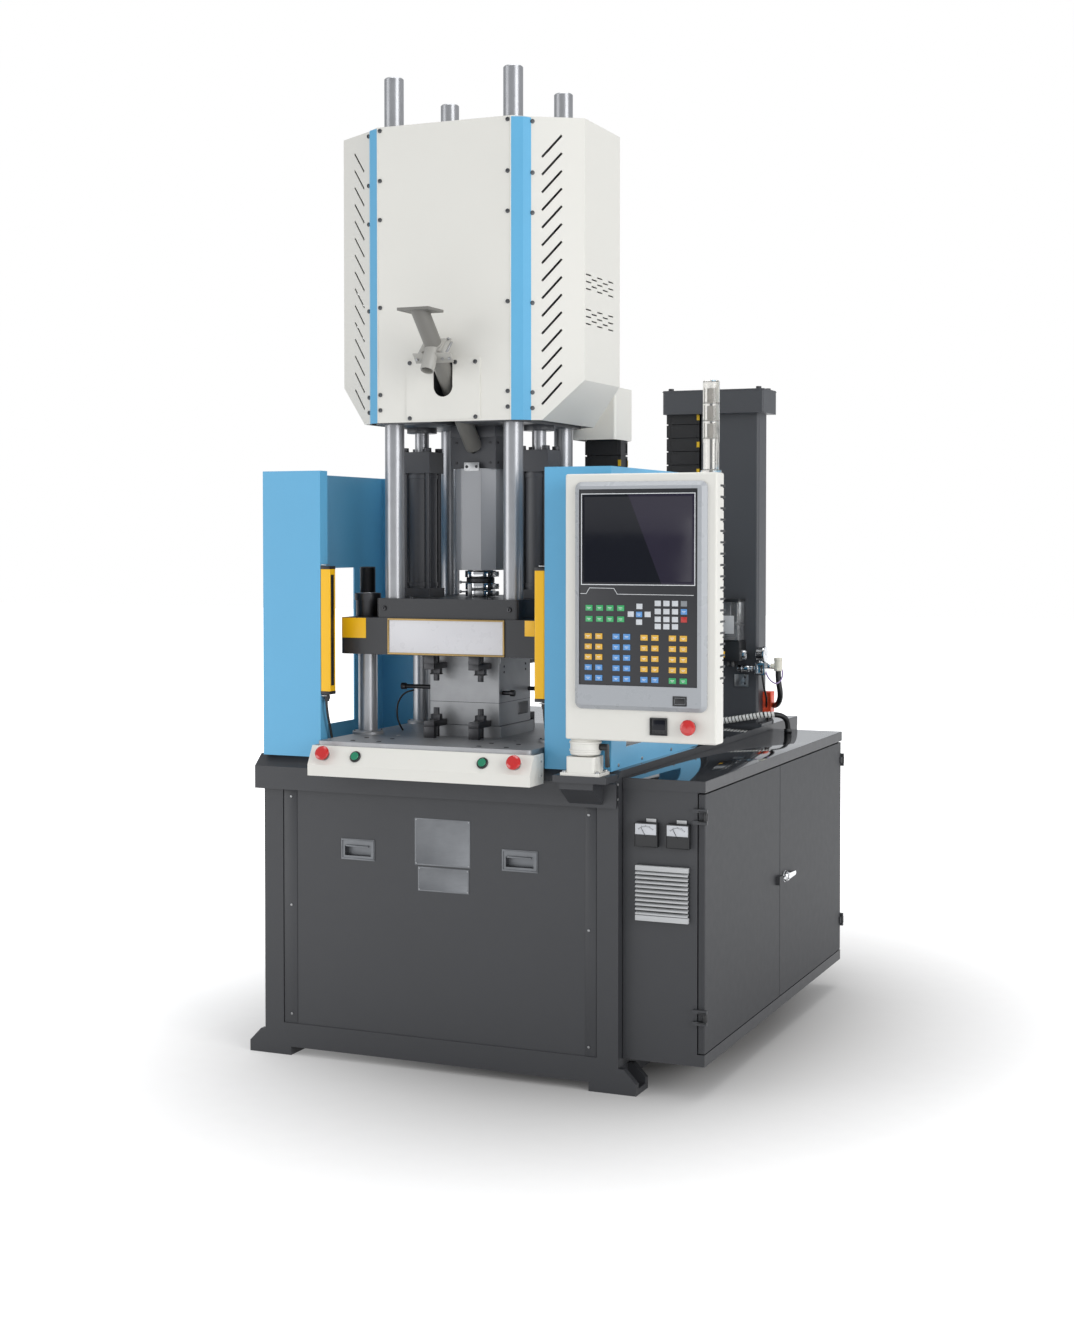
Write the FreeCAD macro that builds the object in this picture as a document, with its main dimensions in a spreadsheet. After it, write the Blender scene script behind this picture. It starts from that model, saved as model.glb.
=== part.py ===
import FreeCAD, Part
import Sketcher
import os
from math import atan2, cos, degrees, radians, sin, tan

# Vertical injection moulding machine, in millimetres.
# Origin: centre of the four floor anchor holes, on the floor. +X is the operator's right,
# +Y runs from the operator's side to the rear, +Z is up.
# Rest: mould closed, injection carriage down, screw forward, doors shut.

V = FreeCAD.Vector
Rot = FreeCAD.Rotation
doc = FreeCAD.newDocument("injection_moulding_machine")
sheet = doc.addObject("Spreadsheet::Sheet", "dims")


class Dim:
    """A length in millimetres that knows both its number and its formula over the sheet."""

    def __init__(self, value, text=None):
        known = isinstance(value, Dim)
        self.value = value.value if known else float(value)
        self.text = text or (value.text if known else "(%r)" % self.value)

    def join(self, other, sign, value):
        return Dim(value, "(%s %s %s)" % (self.text, sign, other.text))

    def __add__(self, other):
        return self.join(Dim(other), "+", self.value + Dim(other).value)

    def __sub__(self, other):
        return self.join(Dim(other), "-", self.value - Dim(other).value)

    def __mul__(self, other):
        return self.join(Dim(other), "*", self.value * Dim(other).value)

    def __truediv__(self, other):
        return self.join(Dim(other), "/", self.value / Dim(other).value)

    def __radd__(self, other):
        return Dim(other) + self

    def __rsub__(self, other):
        return Dim(other) - self

    def __rmul__(self, other):
        return Dim(other) * self

    def __neg__(self):
        return Dim(0) - self


def sizes(title, **values):
    """Write one titled group of driving dimensions to the sheet; give them back as Dims."""
    sheet.set("A%d" % sizes.row, title)
    made = []
    for name, value in values.items():
        sizes.row += 1
        sheet.set("A%d" % sizes.row, name)
        sheet.set("B%d" % sizes.row, str(value))
        sheet.setAlias("B%d" % sizes.row, name)
        made.append(Dim(value, "dims." + name))
    sizes.row += 2
    return made


sizes.row = 1


def bind(thing, prop, length):
    thing.setExpression(prop, Dim(length).text)


def put(thing, x=0, y=0, z=0, turn=None):
    """Bind an object's place, after giving it an optional turn."""
    thing.Placement = FreeCAD.Placement(V(0, 0, 0), turn or Rot())
    for axis, length in zip("xyz", (x, y, z)):
        bind(thing, "Placement.Base." + axis, length)
    return thing


def block(name, x, y, z):
    """A box from (low, high) pairs along X, Y and Z."""
    box = doc.addObject("Part::Box", name)
    for prop, (low, high) in zip(("Length", "Width", "Height"), (x, y, z)):
        bind(box, prop, Dim(high) - low)
    return put(box, x[0], y[0], z[0])


ALONG = {"x": Rot(V(0, 1, 0), 90), "y": Rot(V(1, 0, 0), -90), "z": Rot()}


def rod(name, x, y, z, radius, length, along="z"):
    """A cylinder that starts at x, y, z and runs along +X, +Y or +Z."""
    made = doc.addObject("Part::Cylinder", name)
    bind(made, "Radius", radius)
    bind(made, "Height", length)
    return put(made, x, y, z, ALONG[along])


def fuse(name, *shapes):
    made = doc.addObject("Part::MultiFuse", name)
    made.Shapes = list(shapes)
    made.Refine = True
    return made


def cut(name, base, *tools):
    made = doc.addObject("Part::Cut", name)
    made.Base = base
    made.Tool = tools[0] if len(tools) == 1 else fuse(name + "_tools", *tools)
    made.Refine = True
    return made


def group(name, *shapes):
    """Like pieces that share one node, as separate solids."""
    made = doc.addObject("Part::Compound", name)
    made.Links = list(shapes)
    return made


def new_body(name):
    return doc.addObject("PartDesign::Body", name)


def plane_of(body, role):
    return next(f for f in body.Origin.OriginFeatures if f.Role == role)


# A sketch's own axes on each plane: XY looks along +Z, XZ along -Y, YZ along +X.
LEVEL_SIGN = {"XY": 1, "XZ": -1, "YZ": 1}


def sketch_on(body, plane, level):
    sketch = body.newObject("Sketcher::SketchObject", body.Name + "_sketch")
    sketch.AttachmentSupport = (plane_of(body, plane + "_Plane"), [""])
    sketch.MapMode = "FlatFace"
    bind(sketch, "AttachmentOffset.Base.z", Dim(level) * LEVEL_SIGN[plane])
    return sketch


def draw_outline(sketch, points):
    """A closed outline of straight sides, each corner held at its own distances."""
    points = [(Dim(u), Dim(v)) for u, v in points]
    first = sketch.GeometryCount
    corners = [V(u.value, v.value, 0) for u, v in points]
    for start, end in zip(corners, corners[1:] + corners[:1]):
        sketch.addGeometry(Part.LineSegment(start, end), False)
    count = len(points)
    for i in range(count):
        following = first + (i + 1) % count
        sketch.addConstraint(Sketcher.Constraint("Coincident", first + i, 2, following, 1))
    for i, point in enumerate(points):
        for kind, length in zip(("DistanceX", "DistanceY"), point):
            hold = Sketcher.Constraint(kind, -1, 1, first + i, 1, length.value)
            index = sketch.addConstraint(hold)
            bind(sketch, "Constraints[%d]" % index, length)


def draw_circles(sketch, centres, radius):
    for u, v in centres:
        u, v, radius = Dim(u), Dim(v), Dim(radius)
        circle = Part.Circle(V(u.value, v.value, 0), V(0, 0, 1), radius.value)
        index = sketch.addGeometry(circle, False)
        for kind, length in (("DistanceX", u), ("DistanceY", v)):
            hold = Sketcher.Constraint(kind, -1, 1, index, 3, length.value)
            bind(sketch, "Constraints[%d]" % sketch.addConstraint(hold), length)
        hold = Sketcher.Constraint("Radius", index, radius.value)
        bind(sketch, "Constraints[%d]" % sketch.addConstraint(hold), radius)


def pad(body, plane, low, high, outline=None, circles=None, radius=None):
    """Solid between two levels of a plane, from an outline or from circles."""
    start = high if plane == "XZ" else low
    sketch = sketch_on(body, plane, start)
    if outline:
        draw_outline(sketch, outline)
    if circles:
        draw_circles(sketch, circles, radius)
    made = body.newObject("PartDesign::Pad", body.Name + "_pad")
    made.Profile = sketch
    bind(made, "Length", Dim(high) - low)
    return made


def pocket(body, plane, low, high, outline=None, circles=None, radius=None):
    """Space between two levels of a plane, cut out of the body."""
    start = low if plane == "XZ" else high
    sketch = sketch_on(body, plane, start)
    if outline:
        draw_outline(sketch, outline)
    if circles:
        draw_circles(sketch, circles, radius)
    made = body.newObject("PartDesign::Pocket", body.Name + "_pocket")
    made.Profile = sketch
    bind(made, "Length", Dim(high) - low)
    return made


def prism(name, plane, low, high, outline):
    body = new_body(name)
    pad(body, plane, low, high, outline)
    return body


def turned(name, profile, x=0, y=0, z=0, turn=None):
    """A piece turned about its own +Z from a profile of (radius, height) corners."""
    body = new_body(name)
    sketch = sketch_on(body, "XZ", 0)
    draw_outline(sketch, profile)
    made = body.newObject("PartDesign::Revolution", name + "_turn")
    made.Profile = sketch
    made.ReferenceAxis = (sketch, ["V_Axis"])
    made.Angle = 360
    return put(body, x, y, z, turn)


def rectangle(u, v):
    return [(u[0], v[0]), (u[1], v[0]), (u[1], v[1]), (u[0], v[1])]


def repeat(body, feature, axis, length, count):
    """Linear pattern of one feature along an axis of the body."""
    made = body.newObject("PartDesign::LinearPattern", body.Name + "_row")
    made.Originals = [feature]
    made.Direction = (plane_of(body, axis + "_Axis"), [""])
    bind(made, "Length", length)
    made.Occurrences = count
    body.Tip = made
    return made


def round_edges(body, size, keep, kind="Fillet"):
    """Fillet or chamfer the edges of the body's tip whose middle and direction pass the test."""
    doc.recompute()
    base = body.Tip
    names = []
    for number, edge in enumerate(base.Shape.Edges, 1):
        middle = edge.valueAt((edge.FirstParameter + edge.LastParameter) / 2)
        ends = edge.Vertexes[-1].Point - edge.Vertexes[0].Point
        if ends.Length > 0 and keep(middle, ends.normalize()):
            names.append("Edge%d" % number)
    made = body.newObject("PartDesign::" + kind, body.Name + "_round")
    made.Base = (base, names)
    bind(made, "Radius" if kind == "Fillet" else "Size", size)
    return made


def folded(name, path, thickness, low, high):
    """A sheet folded at right angles, from the plan path of its outer face."""
    path = [(Dim(x), Dim(y)) for x, y in path]
    steps = [(b[0].value - a[0].value, b[1].value - a[1].value) for a, b in zip(path, path[1:])]
    sides = [(-(dy > 0) + (dy < 0), (dx > 0) - (dx < 0)) for dx, dy in steps]
    inner = []
    for i, (x, y) in enumerate(path):
        near = sides[max(i - 1, 0):i + 1]
        inner.append((x + thickness * sum(side[0] for side in near),
                      y + thickness * sum(side[1] for side in near)))
    return prism(name, "XY", low, high, path + inner[::-1])


def is_upright(middle, along):
    return abs(along.z) > 0.99


NODES = []


def node(thing, label):
    """Name a finished sub-part; its file takes the same name."""
    thing.Label = label
    NODES.append(thing)
    return thing


# ---------------------------------------------------------------- driving dimensions

(base_width, base_depth, post_size, rail_low, rail_high, deck_under, deck_top) = sizes(
    "welded base", base_width=1066, base_depth=1727, post_size=60, rail_low=24,
    rail_high=91, deck_under=815, deck_top=846)
(foot_tip, foot_tip_rise, foot_top, foot_top_reach, foot_inner, foot_depth, cheek, foot_plate,
 anchor_reach, anchor_radius) = sizes(
    "floor feet", foot_tip=583, foot_tip_rise=31, foot_top=67, foot_top_reach=548,
    foot_inner=450, foot_depth=92, cheek=20, foot_plate=16, anchor_reach=564, anchor_radius=9)
(apron_low, apron_out, apron_left, apron_bend, apron_slope, deck_right, deck_wall) = sizes(
    "deck tray", apron_low=752, apron_out=20, apron_left=552, apron_bend=815, apron_slope=35,
    deck_right=534, deck_wall=6)
(table_half, table_front, table_back, table_top, table_lower, table_lower_half,
 table_lower_front, table_lower_back) = sizes(
    "fixed platen", table_half=318, table_front=-78, table_back=625, table_top=900,
    table_lower=786, table_lower_half=330, table_lower_front=70, table_lower_back=590)
(bar_x, bar_front, bar_back, bar_radius, bar_low, bar_high, bar_fit, bush_radius) = sizes(
    "tie bars", bar_x=287, bar_front=158, bar_back=501, bar_radius=27, bar_low=120,
    bar_high=1372, bar_fit=0.05, bush_radius=35)
(platen_half, platen_front, platen_back, platen_low, platen_top, head_half, upper_front,
 upper_back, upper_top) = sizes(
    "moving platen", platen_half=326, platen_front=68, platen_back=592, platen_low=1131,
    platen_top=1233, head_half=215, upper_front=74, upper_back=526, upper_top=1287)
(column_x, column_front, column_back, column_radius, column_top) = sizes(
    "guide columns", column_x=181, column_front=121, column_back=478, column_radius=27,
    column_top=2729)
(centre_y, mould_half, mould_front, mould_back, parting) = sizes(
    "mould and injection axis", centre_y=299.5, mould_half=107, mould_front=191,
    mould_back=409, parting=1064)
(ram_radius, ram_top, cylinder_radius, cylinder_low, cross_low, cross_high) = sizes(
    "clamp drive", ram_radius=60, ram_top=570, cylinder_radius=105, cylinder_low=440,
    cross_low=140, cross_high=215)
(lift_x, lift_y, lift_radius, lift_head, lift_top, lift_rod, lift_rod_low) = sizes(
    "carriage cylinders", lift_x=183, lift_y=295, lift_radius=46, lift_head=1640,
    lift_top=1700, lift_rod=20, lift_rod_low=1340)
(carriage_low, carriage_high, carriage_half, carriage_front, carriage_back) = sizes(
    "carriage plate", carriage_low=1738, carriage_high=1790, carriage_half=225,
    carriage_front=62, carriage_back=537)
(hood_low, hood_high, hood_front_y, hood_front_half, hood_bend_y, hood_bend_half,
 hood_wing_y, hood_far_y, hood_half, hood_wall, hood_cut_half, hood_cut_high) = sizes(
    "hood", hood_low=1772, hood_high=2584, hood_front_y=59, hood_front_half=202,
    hood_bend_y=95, hood_bend_half=245, hood_wing_y=173, hood_far_y=440, hood_half=369,
    hood_wall=3, hood_cut_half=270, hood_cut_high=1881)
(feed_half, feed_deep, feed_low, shield_half, shield_low, barrel_radius, screw_radius,
 nozzle_low) = sizes(
    "barrel", feed_half=69, feed_deep=48, feed_low=1650, shield_half=62, shield_low=1364,
    barrel_radius=42, screw_radius=17, nozzle_low=1287)
(thrust_low, thrust_high, thrust_half, inject_x, inject_radius, inject_top, inject_rod) = sizes(
    "injection drive", thrust_low=2230, thrust_high=2280, thrust_half=165, inject_x=112,
    inject_radius=42, inject_top=2200, inject_rod=18)
(cabinet_in, cabinet_out, cabinet_front, cabinet_back, cabinet_low, cabinet_high,
 cabinet_lid, cabinet_wall, door_in, door_low, door_high, door_seam) = sizes(
    "electrical cabinet", cabinet_in=535, cabinet_out=760, cabinet_front=30,
    cabinet_back=1436, cabinet_low=88, cabinet_high=799, cabinet_lid=828, cabinet_wall=4,
    door_in=741, door_low=122, door_high=794, door_seam=725)
(guard_top, guard_front, guard_back, guard_left_out, guard_left_in, guard_right_in,
 guard_right_out, guard_sheet, guard_return, guard_rear_in, window_low, window_high,
 window_front, window_back) = sizes(
    "side guards", guard_top=1641, guard_front=-8, guard_back=705, guard_left_out=-530,
    guard_left_in=-347, guard_right_in=328, guard_right_out=516, guard_sheet=4,
    guard_return=41, guard_rear_in=354, window_low=900, window_high=1365, window_front=103,
    window_back=518)
(panel_left, panel_right, panel_front, panel_depth, panel_low, panel_high, post_x, post_y,
 post_half, post_collar) = sizes(
    "control panel", panel_left=424, panel_right=832, panel_front=-100, panel_depth=80,
    panel_low=937, panel_high=1618, post_x=463, post_y=-55, post_half=40, post_collar=895)
(tower_in, tower_out, tower_front, tower_back, tower_top, cap_in, cap_out, cap_front,
 cap_back, cap_top) = sizes(
    "cable tower", tower_in=318, tower_out=516, tower_front=1317, tower_back=1411,
    tower_top=1858, cap_in=198, cap_out=539, cap_front=1289, cap_back=1438, cap_top=1935)
(chain_in, chain_out, chain_front, chain_back, chain_thick, chain_bend, chain_free) = sizes(
    "drag chain", chain_in=203, chain_out=314, chain_front=593, chain_back=1374,
    chain_thick=57, chain_bend=1650, chain_free=1872)

front = -base_depth / 2
rear = base_depth / 2
half_width = base_width / 2


def from_front(depth):
    """A place along Y, counted back from the face of the base's front posts."""
    return front + depth


axis_y = from_front(centre_y)

# ---------------------------------------------------------------- welded base

tank_y, tank_high, motor_y, motor_length = sizes(
    "hydraulic unit", tank_y=760, tank_high=470, motor_y=900, motor_length=360)
cover_high = deck_under - post_size
posts = [block("post", (x, x + post_size), (y, y + post_size), (rail_low, deck_under))
         for x in (-half_width, half_width - post_size) for y in (front, rear - post_size)]
rails = []
for low, high in ((rail_low, rail_high), (cover_high, deck_under)):
    for y in (front, rear - post_size):
        rails.append(block("cross_rail", (-half_width, half_width), (y, y + post_size), (low, high)))
    for x in (-half_width, half_width - post_size):
        rails.append(block("side_rail", (x, x + post_size), (front, rear), (low, high)))
rails.append(block("platen_bearer", (-half_width, half_width),
                   (from_front(table_lower_back + 5), from_front(table_lower_back + 65)),
                   (cover_high, deck_under)))
for y in (tank_y + 60, tank_y + 740):
    rails.append(block("tank_bearer", (-half_width, half_width), (from_front(y), from_front(y + 50)),
                       (rail_low, rail_high)))


def floor_foot(name, side, end):
    """A foot of two shaped cheeks on a sole plate, bolted down outside the post."""
    near, far = sorted((end * (rear - foot_depth), end * rear), key=lambda d: d.value)
    outline = [(side * foot_inner, 0), (side * foot_tip, 0), (side * foot_tip, foot_tip_rise),
               (side * foot_top_reach, foot_top), (side * half_width, foot_top),
               (side * half_width, rail_low), (side * foot_inner, rail_low)]
    foot = prism(name, "XZ", near, far, outline)
    doc.recompute()
    pocket(foot, "XZ", near + cheek, far - cheek,
           rectangle((side * (half_width + 1), side * (foot_tip + 1)), (foot_plate, foot_top + 1)))
    doc.recompute()
    pocket(foot, "XY", -1, foot_top, circles=[(side * anchor_reach, (near + far) / 2)],
           radius=anchor_radius)
    return foot


feet = [floor_foot("foot", side, end) for side in (-1, 1) for end in (-1, 1)]
node(fuse("frame_weld", *posts, *rails, *feet), "base_frame")

# Front cover: a sheet tray between the posts, with two cut-outs for flush pulls.
cover_half, cover_gap, cover_sheet = sizes(
    "base covers", cover_half=472, cover_gap=1, cover_sheet=4)
pull_left, pull_right, pull_z, pull_width, pull_height, pull_depth, pull_rim = sizes(
    "flush pulls", pull_left=-236, pull_right=252, pull_z=594, pull_width=86, pull_height=40,
    pull_depth=18, pull_rim=9)
front_cover = prism("front_cover", "XZ", from_front(3), from_front(3) + cover_sheet,
                    rectangle((-cover_half, cover_half), (rail_high, cover_high)))
for middle in (pull_left, pull_right):
    doc.recompute()
    pocket(front_cover, "XZ", front, from_front(12), rectangle(
        (middle - pull_width / 2, middle + pull_width / 2),
        (pull_z - pull_height / 2, pull_z + pull_height / 2)))
node(front_cover, "front_cover")


def flush_pull(name, x):
    """A pressed cup with a rim that lies on the cover, and a lip to hook fingers behind."""
    face = from_front(3)
    rim = block(name + "_rim", (x - pull_width / 2 - pull_rim, x + pull_width / 2 + pull_rim),
                (face - 2, face),
                (pull_z - pull_height / 2 - pull_rim, pull_z + pull_height / 2 + pull_rim))
    cup = block(name + "_cup", (x - pull_width / 2 + 0.5, x + pull_width / 2 - 0.5),
                (face - 2, face + pull_depth),
                (pull_z - pull_height / 2 + 0.5, pull_z + pull_height / 2 - 0.5))
    hollow = block(name + "_hollow", (x - pull_width / 2 + 2.5, x + pull_width / 2 - 2.5),
                   (face - 3, face + pull_depth - 2),
                   (pull_z - pull_height / 2 + 2.5, pull_z + pull_height / 2 - 9))
    return cut(name, fuse(name + "_shell", rim, cup), hollow)


node(group("pull_set", flush_pull("first_pull", pull_left), flush_pull("second_pull", pull_right)),
     "flush_pulls")

side_sheet = block("left_sheet", (-half_width + 3, -half_width + 3 + cover_sheet),
                   (front + post_size + cover_gap, rear - post_size - cover_gap),
                   (rail_high, cover_high))
vent_count = 9
rear_sheet = prism("rear_sheet", "XZ", rear - 3 - cover_sheet, rear - 3,
                   rectangle((-cover_half, cover_half), (rail_high, cover_high)))
doc.recompute()
rear_vent = pocket(rear_sheet, "XZ", rear - 20, rear, rectangle((-300, 300), (480, 492)))
repeat(rear_sheet, rear_vent, "Z", 208, vent_count)
node(group("cover_set", side_sheet, rear_sheet), "side_and_rear_covers")

# Deck tray: a thick plate with a skirt whose top edge slopes back to the working level.
deck_front = from_front(-apron_out)
deck_back = rear
slope_back = from_front(-apron_out + apron_slope)
tray = prism("deck_tray", "YZ", -apron_left, deck_right, [
    (deck_front, apron_low), (deck_front + deck_wall, apron_low),
    (deck_front + deck_wall, deck_under), (deck_back, deck_under), (deck_back, deck_top),
    (slope_back, deck_top), (deck_front, apron_bend)])
left_skirt = block("left_skirt", (-apron_left, -apron_left + deck_wall), (deck_front, deck_back),
                   (apron_low, deck_under))
platen_gap = block("platen_gap", (-table_lower_half - 1, table_lower_half + 1),
                   (from_front(table_lower_front - 1), from_front(table_lower_back + 1)),
                   (apron_low, deck_top + 1))
bracket_low, bracket_front, bracket_in, bracket_out, bracket_high = sizes(
    "panel bracket", bracket_low=812, bracket_front=-100, bracket_in=389, bracket_out=537,
    bracket_high=842)
bracket_plate = prism("bracket_plate", "XY", bracket_low + 12, bracket_high, rectangle(
    (bracket_in, bracket_out), (from_front(bracket_front), deck_front + 1)))
bracket_rib = prism("bracket_rib", "YZ", bracket_in + 14, bracket_out - 40, [
    (deck_front + 1, apron_low + 8), (deck_front + 1, bracket_low + 13),
    (from_front(bracket_front) + 10, bracket_low + 13),
    (from_front(bracket_front) + 10, bracket_low - 6)])
gland_x, gland_depth = sizes("hose gland on the deck", gland_x=516, gland_depth=1443)
gland_y = from_front(gland_depth)
hose_gland = turned("hose_gland", [(9.3, deck_top - 1), (16, deck_top - 1), (16, deck_top + 9),
                                   (13, deck_top + 15), (9.3, deck_top + 15)], gland_x, gland_y)
node(cut("deck", fuse("deck_weld", tray, left_skirt, bracket_plate, bracket_rib, hose_gland),
         platen_gap), "deck")

# ---------------------------------------------------------------- fixed platen and controls

bar_places = [(x, from_front(y)) for x in (-bar_x, bar_x) for y in (bar_front, bar_back)]
mould_bolt_x, mould_bolt_y, mould_bolt_radius = sizes(
    "mould bolt holes", mould_bolt_x=360, mould_bolt_y=320, mould_bolt_radius=7)
mould_bolts = [(x * mould_bolt_x / 2, axis_y + y * mould_bolt_y / 2) for x in (-1, 1) for y in (-1, 1)]
table = prism("table", "XY", deck_top, table_top, rectangle(
    (-table_half, table_half), (from_front(table_front), from_front(table_back))))
round_edges(table, 12, is_upright)
doc.recompute()
pad(table, "XY", table_lower, deck_top + 1, rectangle(
    (-table_lower_half, table_lower_half), (from_front(table_lower_front), from_front(table_lower_back))))
doc.recompute()
pocket(table, "XY", table_lower - 1, table_top + 1, circles=bar_places, radius=bush_radius)
doc.recompute()
pocket(table, "XY", table_top - 30, table_top + 1, circles=mould_bolts, radius=mould_bolt_radius)
bush_profile = [(bar_radius + bar_fit, table_lower), (bush_radius, table_lower),
                (bush_radius, table_top), (bush_radius + 9, table_top),
                (bush_radius + 9, table_top + 6), (bush_radius + 6, table_top + 9),
                (bar_radius + bar_fit, table_top + 9)]
node(group("table_set", table, *[turned("bush", bush_profile, x, y) for x, y in bar_places]),
     "fixed_platen")

# Folded box along the operator's edge, with a sloped face for the two-hand buttons.
box_half, box_top_y, box_knee_y, box_low, box_knee, box_top, box_sheet = sizes(
    "button box", box_half=330, box_top_y=-84, box_knee_y=-111, box_low=808, box_knee=838,
    box_top=888, box_sheet=3)
box_face = from_front(box_knee_y)
box_profile = [(box_face, box_low), (from_front(table_front), box_low),
               (from_front(table_front), box_top), (from_front(box_top_y), box_top),
               (box_face, box_knee)]
box_front = prism("box_front", "YZ", -box_half, box_half, box_profile)
box_hollow = prism("box_hollow", "YZ", -box_half + box_sheet, box_half - box_sheet, [
    (box_face + box_sheet, box_low - 1), (from_front(table_front) + 1, box_low - 1),
    (from_front(table_front) + 1, box_top - 8), (from_front(box_top_y) + 2, box_top - 8),
    (box_face + box_sheet, box_knee - 1)])
end_plates = [block("end_plate", (x, x + box_sheet), (from_front(table_front) - 1, deck_front),
                    (box_low, box_top)) for x in (-box_half, box_half - box_sheet)]
table_edge = block("table_edge", (-table_half - 0.5, table_half + 0.5),
                   (from_front(table_front), from_front(0)), (deck_top, box_top + 20))
slope_rise = box_top - box_knee
slope_run = Dim(box_top_y) - box_knee_y
button_tilt = degrees(atan2(slope_rise.value, slope_run.value))
BUTTON_TURN = Rot(V(1, 0, 0), button_tilt)
button_y = from_front((Dim(box_top_y) + box_knee_y) / 2)
button_z = (box_knee + box_top) / 2
button_hole, stop_x, start_x = sizes("push buttons", button_hole=11, stop_x=284, start_x=189)
button_places = (-stop_x, -start_x, start_x, stop_x)
button_bores = []
for place in button_places:
    bore = doc.addObject("Part::Cylinder", "button_bore")
    bind(bore, "Radius", button_hole)
    bind(bore, "Height", 60)
    holder = put(bore, place, button_y + 26, button_z - 15, BUTTON_TURN)
    button_bores.append(holder)
box_shell = cut("box_shell", fuse("box_weld", box_front, *end_plates), box_hollow, table_edge,
                *button_bores)
bezel_profile = [(8.05, -12), (10.8, -12), (10.8, 0.2), (14, 0.2), (14, 3), (12.5, 4.5), (8.05, 4.5)]
wide_bezel_profile = [(8.05, -12), (10.8, -12), (10.8, 0.2), (15.5, 0.2), (15.5, 3), (14, 4.5),
                      (11.6, 4.5), (11.6, 1.2), (8.05, 1.2)]
bezels = [turned("bezel", wide_bezel_profile if abs(x.value) == start_x.value else bezel_profile,
                 x, button_y, button_z, BUTTON_TURN)
          for x in (Dim(place) for place in button_places)]
node(group("box_set", box_shell, *bezels), "button_box")
stop_profile = [(0, -8), (8, -8), (8, 9), (9, 10), (18, 12), (20, 15), (20, 19), (18.5, 22.5),
                (13, 25), (0, 26)]
start_profile = [(0, -8), (8, -8), (8, 4.7), (11.3, 4.7), (11.3, 7), (10.5, 8), (0, 8.4)]
for label, place in (("left_stop_button", -stop_x), ("right_stop_button", stop_x)):
    node(turned(label, stop_profile, place, button_y, button_z, BUTTON_TURN), label)
for label, place in (("left_start_button", -start_x), ("right_start_button", start_x)):
    node(turned(label, start_profile, place, button_y, button_z, BUTTON_TURN), label)

# ---------------------------------------------------------------- side guards


def side_guard(name, outer, inner, rear_inner):
    """One sheet folded to a C in plan: front face with a return, side and rear face."""
    near, far = from_front(guard_front), from_front(guard_back)
    path = [(inner, near + guard_return), (inner, near), (outer, near), (outer, far),
            (rear_inner, far)]
    if outer.value > 0:
        path = path[::-1]
    return folded(name, path, -guard_sheet, deck_top, guard_top)


left_sheet = side_guard("left_guard_sheet", guard_left_out, guard_left_in, -guard_rear_in)
right_sheet = side_guard("right_guard_sheet", guard_right_out, guard_right_in, guard_rear_in)
for sheet_metal, edge, label in ((left_sheet, guard_left_out, "left_guard"),
                                 (right_sheet, guard_right_out, "right_guard")):
    window = block("window", (edge - 20, edge + 20),
                   (from_front(window_front), from_front(window_back)), (window_low, window_high))
    node(cut(label + "_cut", sheet_metal, window), label)

curtain_y, curtain_depth, curtain_low, curtain_high, curtain_width = sizes(
    "light curtains", curtain_y=-30, curtain_depth=34, curtain_low=1030, curtain_high=1368,
    curtain_width=30)
curtains = []
for name, side, inner in (("left_curtain", 1, guard_left_in), ("right_curtain", -1, guard_right_in)):
    low, high = sorted((inner, inner + side * curtain_width), key=lambda d: d.value)
    bar = prism(name, "XY", curtain_low, curtain_high, rectangle(
        (low, high), (from_front(guard_front), from_front(guard_front) + curtain_depth)))
    round_edges(bar, 4, is_upright)
    curtains.append(bar)
node(group("curtain_set", *curtains), "light_curtains")

# ---------------------------------------------------------------- mould

clamp_plate, plate_split, base_plate, cavity_split = sizes(
    "mould plates", clamp_plate=1107, plate_split=996, base_plate=931, cavity_split=6)
mould_x = (-mould_half, mould_half)
mould_y = (from_front(mould_front), from_front(mould_back))
wide_y = (from_front(mould_front - 8), from_front(mould_back + 8))


def mould_plate(name, x, y, z):
    plate = prism(name, "XY", z[0], z[1], rectangle(x, y))
    round_edges(plate, 2, is_upright)
    return plate


pocket_y = (axis_y + 20, axis_y + 92)
lower_block = mould_plate("lower_block", mould_x, mould_y, (base_plate, parting))
doc.recompute()
pocket(lower_block, "YZ", mould_half - 26, mould_half + 1,
       rectangle(pocket_y, (base_plate + 22, plate_split - 8)))
wide_x = (-mould_half - 8, mould_half + 8)
lower_plate = mould_plate("lower_plate", wide_x, wide_y, (table_top, base_plate))
lower_half = fuse("lower_half", lower_block, lower_plate)
upper_block = mould_plate("upper_block", mould_x, mould_y, (parting, clamp_plate))
upper_plate = mould_plate("upper_plate", wide_x, wide_y, (clamp_plate, platen_low))
upper_half = fuse("upper_half", upper_block, upper_plate)

strap_length, strap_width, strap_thick, stud_radius, nut_radius = sizes(
    "mould clamps", strap_length=78, strap_width=30, strap_thick=16, stud_radius=8,
    nut_radius=14)
clamp_places = [(x, end) for x in (-68, 68) for end in (-1, 1)]


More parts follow.
